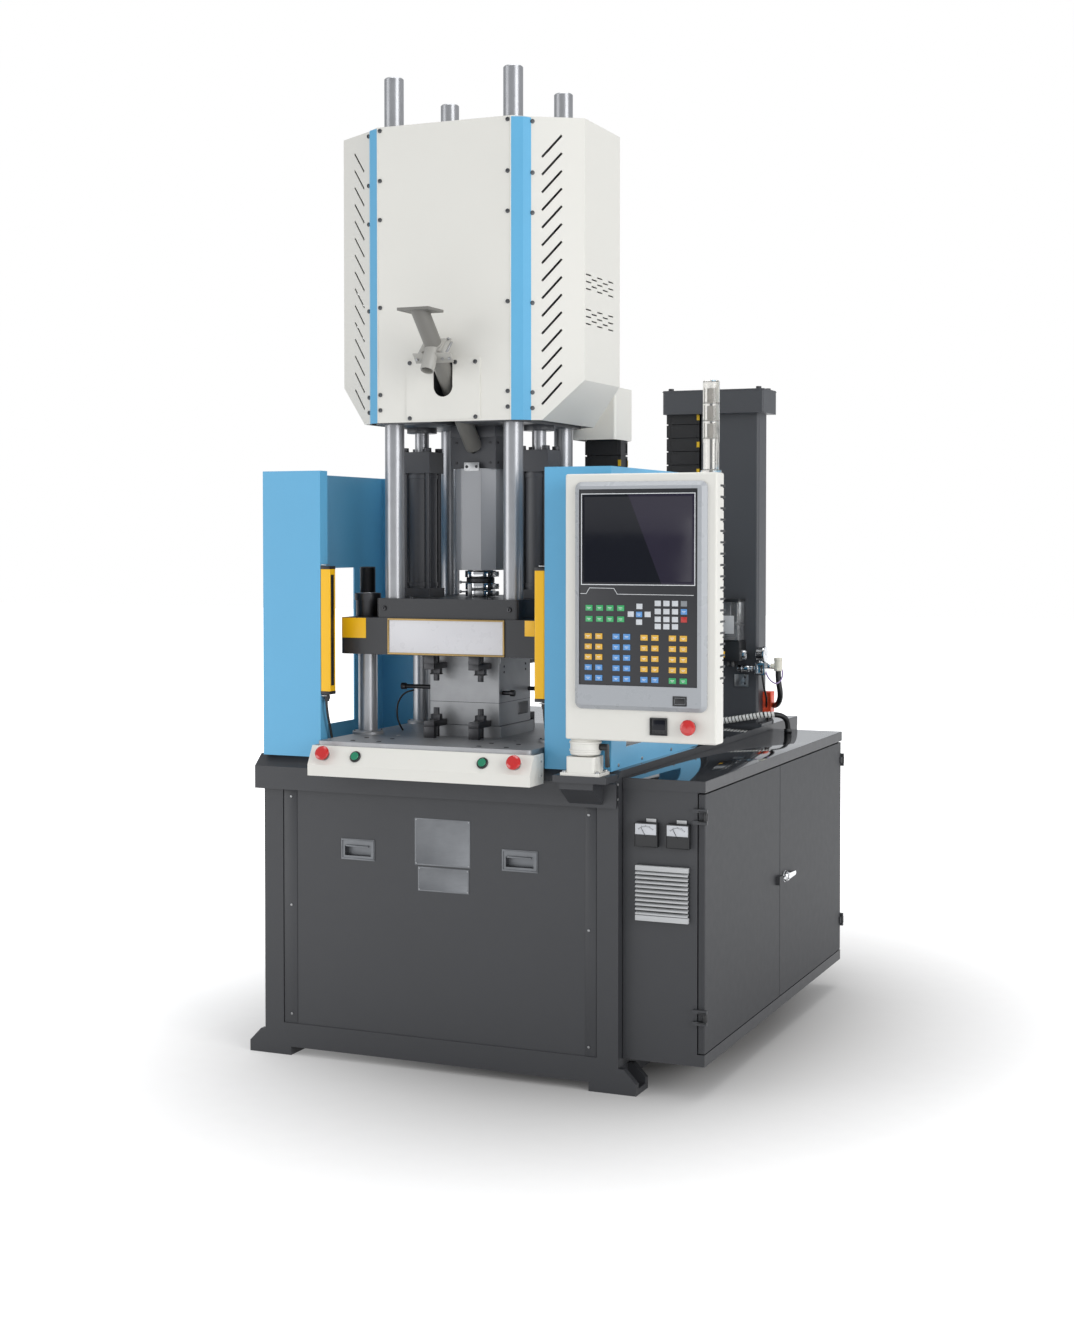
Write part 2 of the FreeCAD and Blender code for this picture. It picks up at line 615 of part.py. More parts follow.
def mould_clamp(x, end, face, ledge, up):
    """A strap that bears on the mould's ledge and a heel block, pulled in by a stud and nut."""
    edge = mould_y[0] - 8 if end < 0 else mould_y[1] + 8
    span = sorted((edge - end * 6, edge + end * strap_length), key=lambda d: d.value)
    grip = ledge if up > 0 else ledge - strap_thick
    strap = block("strap", (x - strap_width / 2, x + strap_width / 2), span,
                  (grip, grip + strap_thick))
    heel_y = sorted((edge + end * (strap_length - 16), edge + end * strap_length),
                    key=lambda d: d.value)
    heel_z = (face, ledge) if up > 0 else (ledge, face)
    heel = block("heel", (x - strap_width / 2, x + strap_width / 2), heel_y, heel_z)
    stud_y = edge + end * 30
    reach = strap_thick + 34
    stud_z = face if up > 0 else ledge - reach
    height = (ledge - face) * up + reach if up > 0 else face - ledge + reach
    stud = rod("stud", x, stud_y, stud_z, stud_radius, height)
    nut_z = ledge + strap_thick if up > 0 else ledge - strap_thick - 16
    nut = rod("nut", x, stud_y, nut_z, nut_radius, 16)
    return fuse("mould_clamp", strap, heel, stud, nut)


node(group("lower_set", lower_half, *[mould_clamp(x, end, table_top, base_plate, 1)
                                      for x, end in clamp_places]), "lower_mould")
node(group("upper_set", upper_half, *[mould_clamp(x, end, platen_low, clamp_plate, -1)
                                      for x, end in clamp_places]), "upper_mould")

# ---------------------------------------------------------------- moving platen and clamp drive

nozzle_gap = sizes("nozzle passage", nozzle_gap=34)[0]
platen = prism("platen", "XY", platen_low, platen_top, rectangle(
    (-platen_half, platen_half), (from_front(platen_front), from_front(platen_back))))
round_edges(platen, 12, is_upright)
doc.recompute()
bar_seat = sizes("bar seats", bar_seat=27)[0]
pocket(platen, "XY", platen_low - 1, platen_top + 1, circles=bar_places, radius=bar_seat)
doc.recompute()
pocket(platen, "XY", platen_low - 1, platen_top + 1, circles=[(0, axis_y)], radius=nozzle_gap)
doc.recompute()
pocket(platen, "XY", platen_low - 1, platen_low + 30, circles=mould_bolts, radius=mould_bolt_radius)
node(platen, "moving_platen")

head_block = prism("head_block", "XY", platen_top, upper_top, rectangle(
    (-head_half, head_half), (from_front(upper_front), from_front(upper_back))))
round_edges(head_block, 10, is_upright)
doc.recompute()
pocket(head_block, "XY", platen_top - 1, upper_top + 1, circles=[(0, axis_y)], radius=nozzle_gap)
doc.recompute()
column_places = [(x, from_front(y)) for x in (-column_x, column_x)
                 for y in (column_front, column_back)]
pocket(head_block, "XY", platen_top - 1, upper_top + 1, circles=column_places, radius=column_radius)
node(head_block, "platen_head_block")

thread_radius, bar_neck, nut_height, nut_out = sizes(
    "tie bar ends", thread_radius=21, bar_neck=1300, nut_height=64, nut_out=33)
bar_profile = [(0, bar_low), (thread_radius, bar_low), (thread_radius, cross_low),
               (bar_radius, cross_low), (bar_radius, bar_neck), (thread_radius, bar_neck),
               (thread_radius, bar_high - 4), (thread_radius - 4, bar_high), (0, bar_high)]
nut_profile = [(bar_radius, platen_top), (nut_out, platen_top), (nut_out, platen_top + 46),
               (nut_out + 4, platen_top + 46), (nut_out + 4, platen_top + nut_height),
               (bar_radius, platen_top + nut_height)]
foot_nut_profile = [(thread_radius, cross_low - 16), (nut_out, cross_low - 16), (nut_out, cross_low),
                    (thread_radius, cross_low)]
bars = [fuse("bar_with_nuts", turned("tie_bar", bar_profile, x, y), turned("top_nut", nut_profile, x, y),
             turned("foot_nut", foot_nut_profile, x, y)) for x, y in bar_places]
node(group("bar_set", *bars), "tie_bars")

crosshead = prism("crosshead_plate", "XY", cross_low, cross_high, [
    (-bar_x - 45, from_front(bar_front - 45)), (bar_x + 45, from_front(bar_front - 45)),
    (bar_x + 45, from_front(bar_back + 45)), (-bar_x - 45, from_front(bar_back + 45))])
round_edges(crosshead, 40, is_upright)
doc.recompute()
pocket(crosshead, "XY", cross_low - 1, cross_high + 1, circles=bar_places, radius=bar_seat)

ram_y = from_front((bar_front + bar_back) / 2)
ram = turned("ram", [(0, cross_high), (ram_radius + 25, cross_high),
                    (ram_radius + 25, cross_high + 22), (ram_radius, cross_high + 26),
                    (ram_radius, ram_top - 3), (ram_radius - 3, ram_top), (0, ram_top)],
             0, ram_y)
node(fuse("ram_weld", crosshead, ram), "clamp_crosshead")
clamp_barrel = turned("clamp_barrel", [
    (ram_radius + bar_fit, cylinder_low), (cylinder_radius - 10, cylinder_low),
    (cylinder_radius, cylinder_low + 10), (cylinder_radius, table_lower - 34),
    (cylinder_radius + 35, table_lower - 34), (cylinder_radius + 35, table_lower),
    (0, table_lower), (0, table_lower - 8), (ram_radius + bar_fit, table_lower - 8)], 0, ram_y)
node(clamp_barrel, "clamp_cylinder")

node(group("column_set", *[turned("column", [
    (0, platen_top), (column_radius, platen_top), (column_radius, column_top - 3),
    (column_radius - 3, column_top), (0, column_top)], x, y) for x, y in column_places]),
     "guide_columns")

# Two hydraulic cylinders lift the injection carriage off the platen.
tie_reach, tie_rod_radius, flange_half = sizes(
    "tie-rod cylinders", tie_reach=36, tie_rod_radius=7, flange_half=48)


def lift_cylinder(side):
    x, y = side * lift_x, from_front(lift_y)
    tube = rod("lift_tube", x, y, upper_top, lift_radius - 3, lift_head - upper_top)
    flange = block("lift_flange", (x - flange_half, x + flange_half),
                   (y - flange_half, y + flange_half), (upper_top, upper_top + 24))
    head = block("lift_head", (x - flange_half + 2, x + flange_half - 2),
                 (y - flange_half + 2, y + flange_half - 2), (lift_head, lift_top))
    corners = [(x + i * tie_reach, y + j * tie_reach) for i in (-1, 1) for j in (-1, 1)]
    ties = [rod("lift_tie", u, v, upper_top + 24, tie_rod_radius, lift_head - upper_top - 24)
            for u, v in corners]
    bolts = [rod("lift_bolt", u, v, lift_top, 10, 11) for u, v in corners]
    bore = rod("lift_bore", x, y, lift_rod_low - 20, lift_rod + bar_fit, lift_top)
    return cut("lift_cylinder", fuse("lift_weld", tube, flange, head, *ties, *bolts), bore)


node(group("lift_set", lift_cylinder(-1), lift_cylinder(1)), "carriage_cylinders")

# ---------------------------------------------------------------- injection carriage

slot_half, slot_back, corner_cut = sizes(
    "carriage plate plan", slot_half=36, slot_back=266, corner_cut=32)
edge_near, edge_far = from_front(carriage_front), from_front(carriage_back)
carriage = prism("carriage", "XY", carriage_low, carriage_high, [
    (-carriage_half + corner_cut, edge_near), (carriage_half - corner_cut, edge_near),
    (carriage_half, edge_near + corner_cut), (carriage_half, edge_far - corner_cut),
    (carriage_half - corner_cut, edge_far), (-carriage_half + corner_cut, edge_far),
    (-carriage_half, edge_far - corner_cut), (-carriage_half, edge_near + corner_cut)])
doc.recompute()
pocket(carriage, "XY", carriage_low - 1, carriage_high + 1, rectangle(
    (-slot_half, slot_half), (from_front(carriage_front - 1), from_front(slot_back))))
doc.recompute()
pocket(carriage, "XY", carriage_low - 1, carriage_high + 1, circles=column_places,
       radius=column_radius + bar_fit)

feed_y = (axis_y - feed_deep, axis_y + feed_deep)
feed = prism("feed", "XY", feed_low, carriage_low, rectangle((-feed_half, feed_half), feed_y))
round_edges(feed, 3, is_upright)
doc.recompute()
pocket(feed, "XY", feed_low - 1, carriage_low + 1, circles=[(0, axis_y)], radius=barrel_radius)
barrel = turned("barrel_tube", [
    (0, shield_low + 4), (22, shield_low + 4), (barrel_radius, shield_low + 30),
    (barrel_radius, carriage_high), (barrel_radius + 14, carriage_high),
    (barrel_radius + 14, carriage_high + 18), (screw_radius + bar_fit, carriage_high + 18),
    (screw_radius + bar_fit, shield_low + 30), (0, shield_low + 20)], 0, axis_y)
carriage_bore = sizes("barrel bore in the carriage plate", carriage_bore=42)[0]
pocket(carriage, "XY", carriage_low - 1, carriage_high + 1, circles=[(0, axis_y)],
       radius=carriage_bore)

# Eight-sided heat guard, open underneath and at the feed block.
corner = shield_half * 0.5
octagon = [(sx * u, axis_y + sy * v) for sx, sy, u, v in (
    (1, -1, corner, shield_half), (1, -1, shield_half, corner), (1, 1, shield_half, corner),
    (1, 1, corner, shield_half), (-1, 1, corner, shield_half), (-1, 1, shield_half, corner),
    (-1, -1, shield_half, corner), (-1, -1, corner, shield_half))]
shield_sheet = 2
inner_half = shield_half - shield_sheet
inner_corner = corner - shield_sheet / 2
inner_octagon = [(sx * u, axis_y + sy * v) for sx, sy, u, v in (
    (1, -1, inner_corner, inner_half), (1, -1, inner_half, inner_corner),
    (1, 1, inner_half, inner_corner), (1, 1, inner_corner, inner_half),
    (-1, 1, inner_corner, inner_half), (-1, 1, inner_half, inner_corner),
    (-1, -1, inner_half, inner_corner), (-1, -1, inner_corner, inner_half))]
shield = prism("shield", "XY", shield_low, feed_low, octagon)
doc.recompute()
pocket(shield, "XY", shield_low - 1, feed_low + 1, inner_octagon)
node(shield, "heat_shield")

nozzle_profile = [
    (0, platen_low + 0.3), (7, platen_low + 0.3), (13, platen_low + 10), (16, platen_low + 60),
    (16, nozzle_low + 2), (30, nozzle_low + 2), (30, nozzle_low + 38), (20, nozzle_low + 38),
    (20, nozzle_low + 54), (36, nozzle_low + 54), (36, shield_low), (22, shield_low),
    (22, shield_low + 4), (0, shield_low + 4)]
node(turned("nozzle_body", nozzle_profile, 0, axis_y), "nozzle")

lift_rods = [rod("lift_rod", side * lift_x, from_front(lift_y), lift_rod_low, lift_rod,
                 carriage_low - lift_rod_low) for side in (-1, 1)]
node(fuse("carriage_weld", carriage, *lift_rods), "carriage_plate")

inject_profile = [(0, carriage_high), (inject_radius, carriage_high),
                  (inject_radius, inject_top), (inject_radius + 6, inject_top),
                  (inject_radius + 6, inject_top + 14), (inject_rod + bar_fit, inject_top + 14),
                  (inject_rod + bar_fit, carriage_high + 30), (0, carriage_high + 30)]
inject_places = [(side * inject_x, axis_y) for side in (-1, 1)]
node(group("inject_set", *[turned("inject_cylinder", inject_profile, x, y)
                           for x, y in inject_places]), "injection_cylinders")

thrust = prism("thrust", "XY", thrust_low, thrust_high, rectangle(
    (-thrust_half, thrust_half), (axis_y - 62, axis_y + 62)))
round_edges(thrust, 14, is_upright)
inject_rods = [rod("inject_rod", x, y, carriage_high + 40, inject_rod,
                   thrust_low - carriage_high - 40) for x, y in inject_places]
node(fuse("thrust_weld", thrust, *inject_rods), "thrust_plate")
motor_top = sizes("screw motor", motor_top=2432)[0]
node(turned("motor_body", [(0, thrust_high), (70, thrust_high), (70, thrust_high + 22),
                           (56, thrust_high + 22), (56, motor_top - 46), (66, motor_top - 46),
                           (66, motor_top - 10), (56, motor_top), (0, motor_top)], 0, axis_y),
     "screw_motor")
node(turned("screw_shaft", [
    (0, shield_low + 24), (6, shield_low + 34), (screw_radius, shield_low + 60),
    (screw_radius, carriage_high + 60), (26, carriage_high + 60), (26, thrust_low - 0.3),
    (0, thrust_low - 0.3)], 0, axis_y), "injection_screw")

# Hood: folded side covers, rear and lid in one shell round the injection drive.


def hood_plan(inset, half_front):
    """Plan corners of the hood, moved in by a wall; the front opening has its own half width."""
    flank = hood_half - inset
    face, back = from_front(hood_front_y) + inset, axis_y * 2 - from_front(hood_front_y) - inset
    near, far = from_front(hood_wing_y) + inset * 0.3, from_front(hood_far_y) - inset * 0.3
    bend_x, shift = Dim(hood_bend_half) - inset * 0.55, inset * 0.85
    bend_near = from_front(hood_bend_y) + shift
    bend_far = axis_y * 2 - from_front(hood_bend_y) - shift
    half_back = half_front - inset * 0.4
    right = [(half_front, face), (bend_x, bend_near), (flank, near), (flank, far),
             (bend_x, bend_far), (half_back, back)]
    left = [(-x, y) for x, y in reversed(right)]
    return left[-1:] + right + left[:-1]


slant_rise = (hood_cut_high - hood_low) / (hood_half - hood_cut_half)


def hood_cutter(name, side, inset):
    """Wedge that slants the lower outer corner of the hood on one side."""
    over, foot_z = 40, hood_low - 20 * slant_rise
    return prism(name, "XZ", from_front(0), from_front(700), [
        (side * (hood_half + over - inset), hood_cut_high + over * slant_rise),
        (side * (hood_cut_half - 20 - inset), foot_z), (side * (hood_half + over), foot_z)])


outer_shell = prism("outer_shell", "XY", hood_low, hood_high, hood_plan(Dim(0), hood_front_half))
inner_space = prism("inner_space", "XY", hood_low - 5, hood_high - hood_wall,
                    hood_plan(hood_wall, hood_front_half))
slants = [hood_cutter("slant", side, 0) for side in (-1, 1)]
inner_slants = [hood_cutter("inner_slant", side, hood_wall * 1.4) for side in (-1, 1)]
front_space = block("front_space", (-hood_bend_half, hood_bend_half),
                    (from_front(hood_front_y - 1), from_front(hood_bend_y)),
                    (hood_low - 1, hood_high - hood_wall))
hollow = cut("hollow", inner_space, *inner_slants)
column_holes = [rod("column_hole", x, y, hood_high - 20, column_radius + 4, 40)
                for x, y in column_places]

# Cooling slots: a rising row through each front wing, and two staggered fields in each flank.
slot_count, slot_pitch, slot_first, slot_length, slot_width, slot_lean, slot_x = sizes(
    "hood slots", slot_count=15, slot_pitch=47.3, slot_first=1844.3, slot_length=80.6,
    slot_width=6, slot_lean=47.8, slot_x=293)
wing_run, wing_rise = hood_half - hood_bend_half, hood_wing_y - hood_bend_y
wing_turn = degrees(atan2(wing_rise.value, wing_run.value))
slot_y = from_front(hood_bend_y + (slot_x - hood_bend_half) * wing_rise / wing_run)
slots = []
for side in (-1, 1):
    for i in range(int(slot_count.value)):
        slot = doc.addObject("Part::Box", "wing_slot")
        bind(slot, "Length", slot_length)
        bind(slot, "Width", 30)
        bind(slot, "Height", slot_width)
        lean = Rot(V(0, 0, 1), side * wing_turn).multiply(Rot(V(0, 1, 0), -side * slot_lean.value))
        middle = lean.multVec(V(slot_length.value / 2, 15, slot_width.value / 2))
        slots.append(put(slot, side * slot_x - middle.x, slot_y - middle.y,
                         slot_first + slot_pitch * i - middle.z, lean))
(field_rows, field_columns, field_start, field_length, field_pitch, field_width, field_rise,
 field_low, field_high) = sizes(
    "flank slot fields", field_rows=5, field_columns=5, field_start=8.5, field_length=40,
    field_pitch=42, field_width=4, field_rise=9.6, field_low=2032.5, field_high=2127)
for base in (field_low, field_high):
    for row in range(int(field_rows.value)):
        low = base + field_rise * row
        for column in range(row % 2, int(field_columns.value), 2):
            y = from_front(hood_wing_y) + field_start + field_pitch * column
            slots.append(block("flank_slot", (-hood_half - 5, hood_half + 5),
                               (y, y + field_length), (low, low + field_width)))
hood_skin = cut("hood_skin", outer_shell, *slants)
hood_open = cut("hood_open", hood_skin, hollow, front_space, *column_holes)
hood = cut("hood", hood_open, group("slot_set", *slots))

trims = []
for side in (-1, 1):
    low_x, high_x = side * hood_front_half, side * hood_bend_half
    low_y, high_y = from_front(hood_front_y), from_front(hood_bend_y)
    trim = prism("trim", "XY", hood_low, hood_high - hood_wall, [
        (low_x, low_y), (high_x - side * 14, low_y + 14), (high_x, high_y),
        (high_x - side * 3.5, high_y), (high_x - side * 17, low_y + 17.5), (low_x, low_y + 3.4)])
    trims.append(trim)
node(group("trim_set", *trims), "hood_corner_trims")

hatch_half, hatch_low, hatch_high, hatch_slot, hatch_slot_low, hatch_slot_high = sizes(
    "hood hatch", hatch_half=111, hatch_low=1777, hatch_high=1944, hatch_slot=29,
    hatch_slot_low=1868, hatch_slot_high=1940)
fascia = prism("fascia", "XZ", from_front(hood_front_y), from_front(hood_front_y) + hood_wall,
               rectangle((-hood_front_half, hood_front_half), (hood_low, hood_high - hood_wall)))
doc.recompute()
pocket(fascia, "XZ", from_front(hood_front_y - 1), from_front(hood_front_y + 9),
       rectangle((-hatch_half + 14, hatch_half - 14), (hatch_low + 14, hatch_high - 6)))
doc.recompute()
pocket(fascia, "XZ", from_front(hood_front_y - 1), from_front(hood_front_y + 9),
       circles=[(0, hatch_slot_high - 8)], radius=hatch_slot)
node(fascia, "hood_front_panel")
hatch_face = from_front(hood_front_y) - hood_wall
hatch = prism("hatch", "XZ", hatch_face, hatch_face + hood_wall,
              rectangle((-hatch_half, hatch_half), (hatch_low, hatch_high)))
doc.recompute()
pocket(hatch, "XZ", hatch_face - 1, hatch_face + 9, rectangle(
    (-hatch_slot, hatch_slot), (hatch_slot_low, hatch_high + 1)))
doc.recompute()
pocket(hatch, "XZ", hatch_face - 1, hatch_face + 9, circles=[(0, hatch_slot_low)],
       radius=hatch_slot - 0.01)
node(hatch, "hood_hatch")

shroud_in, shroud_out, shroud_back, shroud_low, shroud_high = sizes(
    "cable shroud", shroud_in=183, shroud_out=319, shroud_back=678, shroud_low=1740,
    shroud_high=1891)
shroud_front = axis_y * 2 - from_front(hood_front_y)
shroud = prism("shroud", "XY", shroud_low, shroud_high, rectangle(
    (shroud_in, shroud_out), (shroud_front, from_front(shroud_back))))
round_edges(shroud, 8, is_upright)
doc.recompute()
pocket(shroud, "XY", shroud_low - 1, shroud_high - 3, rectangle(
    (shroud_in + 3, shroud_out - 3), (shroud_front + 3, from_front(shroud_back) - 3)))
node(fuse("hood_weld", hood, shroud), "hood_shell")

# Feed chute: one straight pipe at 45 degrees with a shut-off box, a drain spout and a flange.
chute_y, chute_z, pipe_radius, pipe_bore, pipe_length, flange_size, flange_thick = sizes(
    "feed chute", chute_y=-80, chute_z=2055, pipe_radius=24, pipe_bore=20, pipe_length=480,
    flange_size=92, flange_thick=8)
chute_angle = 44.2
down = V(0, sin(radians(chute_angle)), -cos(radians(chute_angle)))
LEAN = Rot(V(0, 0, 1), down)
SPOUT = Rot(V(0, 0, 1), V(0, -down.y, down.z))
mouth_y, mouth_z = from_front(chute_y), chute_z


def along_chute(distance):
    return mouth_y + distance * down.y, mouth_z + distance * down.z


def chute_rod(name, start, radius, length, turn=LEAN):
    made = doc.addObject("Part::Cylinder", name)
    bind(made, "Radius", radius)
    bind(made, "Height", length)
    y, z = along_chute(start)
    return put(made, 0, y, z, turn)


def chute_block(name, half, start, thick, half_across):
    """A plate square to the pipe, from one distance along it to another."""
    made = doc.addObject("Part::Box", name)
    bind(made, "Length", Dim(half) * 2)
    bind(made, "Width", Dim(half_across) * 2)
    bind(made, "Height", thick)
    corner_at = LEAN.multVec(V(0, -Dim(half_across).value, 0))
    y, z = along_chute(start)
    return put(made, -Dim(half), y + corner_at.y, z + corner_at.z, LEAN)


gate_at, gate_thick, gate_half, gate_short, gate_long, box_size = sizes(
    "chute gate", gate_at=112, gate_thick=4, gate_half=24, gate_short=32, gate_long=64,
    box_size=28)
pipe = chute_rod("pipe", -20, pipe_radius, pipe_length + 20)
trim_top = block("pipe_top", (-80, 80), (mouth_y - 120, mouth_y + 120), (mouth_z, mouth_z + 90))
flange = block("flange", (-flange_size / 2, flange_size / 2),
               (mouth_y - flange_size / 2, mouth_y + flange_size / 2),
               (mouth_z - flange_thick, mouth_z))
shut_box = chute_block("shut_box", box_size, gate_at - 14, 32, box_size)
spout = chute_rod("spout", gate_at + 2, 19, 80, SPOUT)
spout_bore = chute_rod("spout_bore", gate_at + 2, 16, 90, SPOUT)
pipe_hole = chute_rod("pipe_hole", -40, pipe_bore, pipe_length + 60)
gate_slot = chute_block("gate_slot", 40, gate_at - 0.2, gate_thick + 0.4, gate_half + 0.2)
bolt_pitch, flange_hole = sizes("hopper flange holes", bolt_pitch=70, flange_hole=4.5)
flange_holes = [rod("flange_hole", x * bolt_pitch / 2, mouth_y + y * bolt_pitch / 2,
                    mouth_z - 20, flange_hole, 30) for x in (-1, 1) for y in (-1, 1)]
chute_weld = fuse("chute_weld", cut("pipe_cut", pipe, trim_top), flange, shut_box, spout)
node(cut("chute", chute_weld, pipe_hole, spout_bore, gate_slot, *flange_holes), "feed_chute")

pipe_seat = chute_rod("pipe_seat", pipe_length - 140, pipe_radius + bar_fit, 140 + bar_fit)
feed_way = chute_rod("feed_way", pipe_length - 10, 15, 50)
throat = group("throat", pipe_seat, feed_way)
node(cut("feed_bored", feed, throat), "feed_block")
node(cut("barrel_bored", barrel, throat), "barrel")

gate_plate = chute_block("gate_plate", gate_long, gate_at, gate_thick, gate_half)
gate_end = chute_block("gate_end", gate_long, gate_at - 1, gate_thick + 2, gate_half + 1)
bind(gate_end, "Placement.Base.x", -gate_long * 2 - gate_short)
gate_window = chute_rod("gate_window", gate_at - 5, pipe_bore, 20)
node(cut("gate", gate_plate, gate_end, gate_window), "chute_gate")

# ---------------------------------------------------------------- electrical cabinet

door_gap, door_skin, door_rib, hinge_out, hinge_radius, pin_radius, lever_z, lever_y = sizes(
    "doors", door_gap=1.5, door_skin=3, door_rib=19, hinge_out=763, hinge_radius=6,
    pin_radius=3, lever_z=465, lever_y=772)
cabinet_y = (from_front(cabinet_front), from_front(cabinet_back))
front_hinge_y = cabinet_y[0] - 4
rear_hinge_y = cabinet_y[1] + 4
hinge_levels = (217, 737)
hinge_pins = []
for hinge_y, span in ((front_hinge_y, (front_hinge_y - 5, cabinet_y[0])),
                      (rear_hinge_y, (cabinet_y[1], rear_hinge_y + 5))):
    for z in hinge_levels:
        hinge_pins.append(rod("hinge_pin", hinge_out, hinge_y, z - 20, pin_radius, 40))
        for low in (z - 20, z + 10.3):
            hinge_pins.append(block("hinge_lug", (door_in - 12, hinge_out + 5), span,
                                    (low, low + 9.7)))
box_out = door_in - 1.5
shell_block = block("shell_block", (cabinet_in, box_out), cabinet_y, (cabinet_low, cabinet_high))
shell_room = block("shell_room", (cabinet_in + cabinet_wall, box_out + 1),
                   (cabinet_y[0] + cabinet_wall, cabinet_y[1] - cabinet_wall),
                   (cabinet_low + cabinet_wall, cabinet_high - cabinet_wall))
sill = block("sill", (box_out - 10, cabinet_out), cabinet_y, (cabinet_low, door_low - 3))
meter_hole, meter_side, meter_z, meter_one, meter_two = sizes(
    "meters", meter_hole=23, meter_side=64, meter_z=683, meter_one=603, meter_two=690)
meter_cuts = [rod("meter_cut", x, cabinet_y[0] - 5, meter_z, meter_hole, 20, "y")
              for x in (meter_one, meter_two)]
grille_left, grille_right, grille_low, grille_high, slat_count = sizes(
    "louvre", grille_left=571, grille_right=718, grille_low=447, grille_high=611, slat_count=11)
vent_cut = block("vent_cut", (grille_left + 12, grille_right - 12),
                 (cabinet_y[0] - 5, cabinet_y[0] + 20), (grille_low + 12, grille_high - 12))
cabinet_weld = fuse("cabinet_weld", shell_block, sill, *hinge_pins)
node(cut("cabinet_box", cabinet_weld, shell_room, vent_cut, *meter_cuts), "cabinet_shell")
node(block("lid_plate", (cabinet_in, cabinet_out + 2), (cabinet_y[0] - 3, cabinet_y[1] + 3),
           (cabinet_high, cabinet_lid)), "cabinet_lid")

# Louvre: a frame with slats that lean outwards and down.
grille_face = cabinet_y[0]
grille = prism("grille", "XZ", grille_face - 3, grille_face,
               rectangle((grille_left, grille_right), (grille_low, grille_high)))
doc.recompute()
pocket(grille, "XZ", grille_face - 4, grille_face + 1,
       rectangle((grille_left + 8, grille_right - 8), (grille_low + 8, grille_high - 8)))
slat_pitch = (grille_high - grille_low - 20) / slat_count
doc.recompute()
slat = pad(grille, "YZ", grille_left + 7, grille_right - 7, [
    (grille_face - 1, grille_low + 8 + slat_pitch), (grille_face - 9, grille_low + 11),
    (grille_face - 8, grille_low + 9.5), (grille_face, grille_low + 6 + slat_pitch)])
doc.recompute()
repeat(grille, slat, "Z", slat_pitch * (slat_count - 1), int(slat_count.value))
node(grille, "louvre_grille")


def panel_meter(name, x):
    """A square dial case that stands on the front wall, with its round body behind."""
    half = meter_side / 2
    case = prism(name + "_case", "XZ", cabinet_y[0] - 14, cabinet_y[0],
                 rectangle((x - half, x + half), (meter_z - half, meter_z + half)))
    round_edges(case, 4, lambda middle, along: abs(along.y) > 0.99)
    can = rod(name + "_can", x, cabinet_y[0] - 2, meter_z, meter_hole - 0.5, 40, "y")
    return fuse(name, case, can)


node(group("meter_set", panel_meter("first_meter", meter_one),
           panel_meter("second_meter", meter_two)), "panel_meters")


def cabinet_door(name, near, far, hinge_y, keep_hinge, *extra):
    """A folded tray: outer skin with a flange all round, and hinge knuckles at one end."""
    tray = prism(name + "_tray", "YZ", door_in, cabinet_out,
                 rectangle((near, far), (door_low, door_high)))
    round_edges(tray, 4, is_upright)
    doc.recompute()
    pocket(tray, "YZ", door_in - 1, cabinet_out - door_skin,
           rectangle((near + door_rib, far - door_rib),
                     (door_low + door_rib, door_high - door_rib)))
    knuckles = [turned(name + "_knuckle", [(pin_radius + bar_fit, z - 10), (hinge_radius, z - 10),
                                           (hinge_radius, z + 10), (pin_radius + bar_fit, z + 10)],
                       hinge_out, hinge_y) for z in hinge_levels]
    pin_ways = [rod(name + "_pin_way", hinge_out, hinge_y, z - 30, pin_radius + bar_fit, 60)
                for z in hinge_levels]
    leaves = [block(name + "_leaf", (cabinet_out - 4, cabinet_out + 4), keep_hinge, (z - 10, z + 10))
              for z in hinge_levels]
    return cut(name, fuse(name + "_weld", tray, *knuckles, *leaves, *extra), *pin_ways)


keeper = prism("keeper", "YZ", cabinet_out - 1, cabinet_out + 12, [
    (from_front(lever_y - 88), lever_z - 12), (from_front(lever_y - 54), lever_z - 12),
    (from_front(lever_y - 49), lever_z - 7), (from_front(lever_y - 49), lever_z + 7),
    (from_front(lever_y - 54), lever_z + 12), (from_front(lever_y - 88), lever_z + 12)])
node(cabinet_door("front_door", cabinet_y[0] + 0.5, from_front(door_seam) - door_gap / 2,
                  front_hinge_y, (front_hinge_y, front_hinge_y + 22), keeper), "cabinet_front_door")
rear_door = cabinet_door("rear_door", from_front(door_seam) + door_gap / 2, cabinet_y[1] - 0.5,
                         rear_hinge_y, (rear_hinge_y - 22, rear_hinge_y))
spindle = rod("spindle_hole", door_in - 5, from_front(lever_y), lever_z, 6.05, 40, "x")
node(cut("rear_door_bored", rear_door, spindle), "cabinet_rear_door")

# Lever latch: a round boss and arm that turn in the rear door, over a keeper on the front door.
lever_boss = turned("lever_boss", [(0, -14), (6, -14), (6, 0), (15, 0), (15, 9), (11, 14), (0, 14)],
                    cabinet_out, from_front(lever_y), lever_z, ALONG["x"])
lever_arm = prism("lever_arm", "YZ", cabinet_out + 5, cabinet_out + 14, [
    (from_front(lever_y), lever_z - 9), (from_front(lever_y + 74), lever_z - 6),
    (from_front(lever_y + 80), lever_z), (from_front(lever_y + 74), lever_z + 6),
    (from_front(lever_y), lever_z + 9)])
node(fuse("lever", lever_boss, lever_arm), "door_lever")

# ---------------------------------------------------------------- cable tower and chain

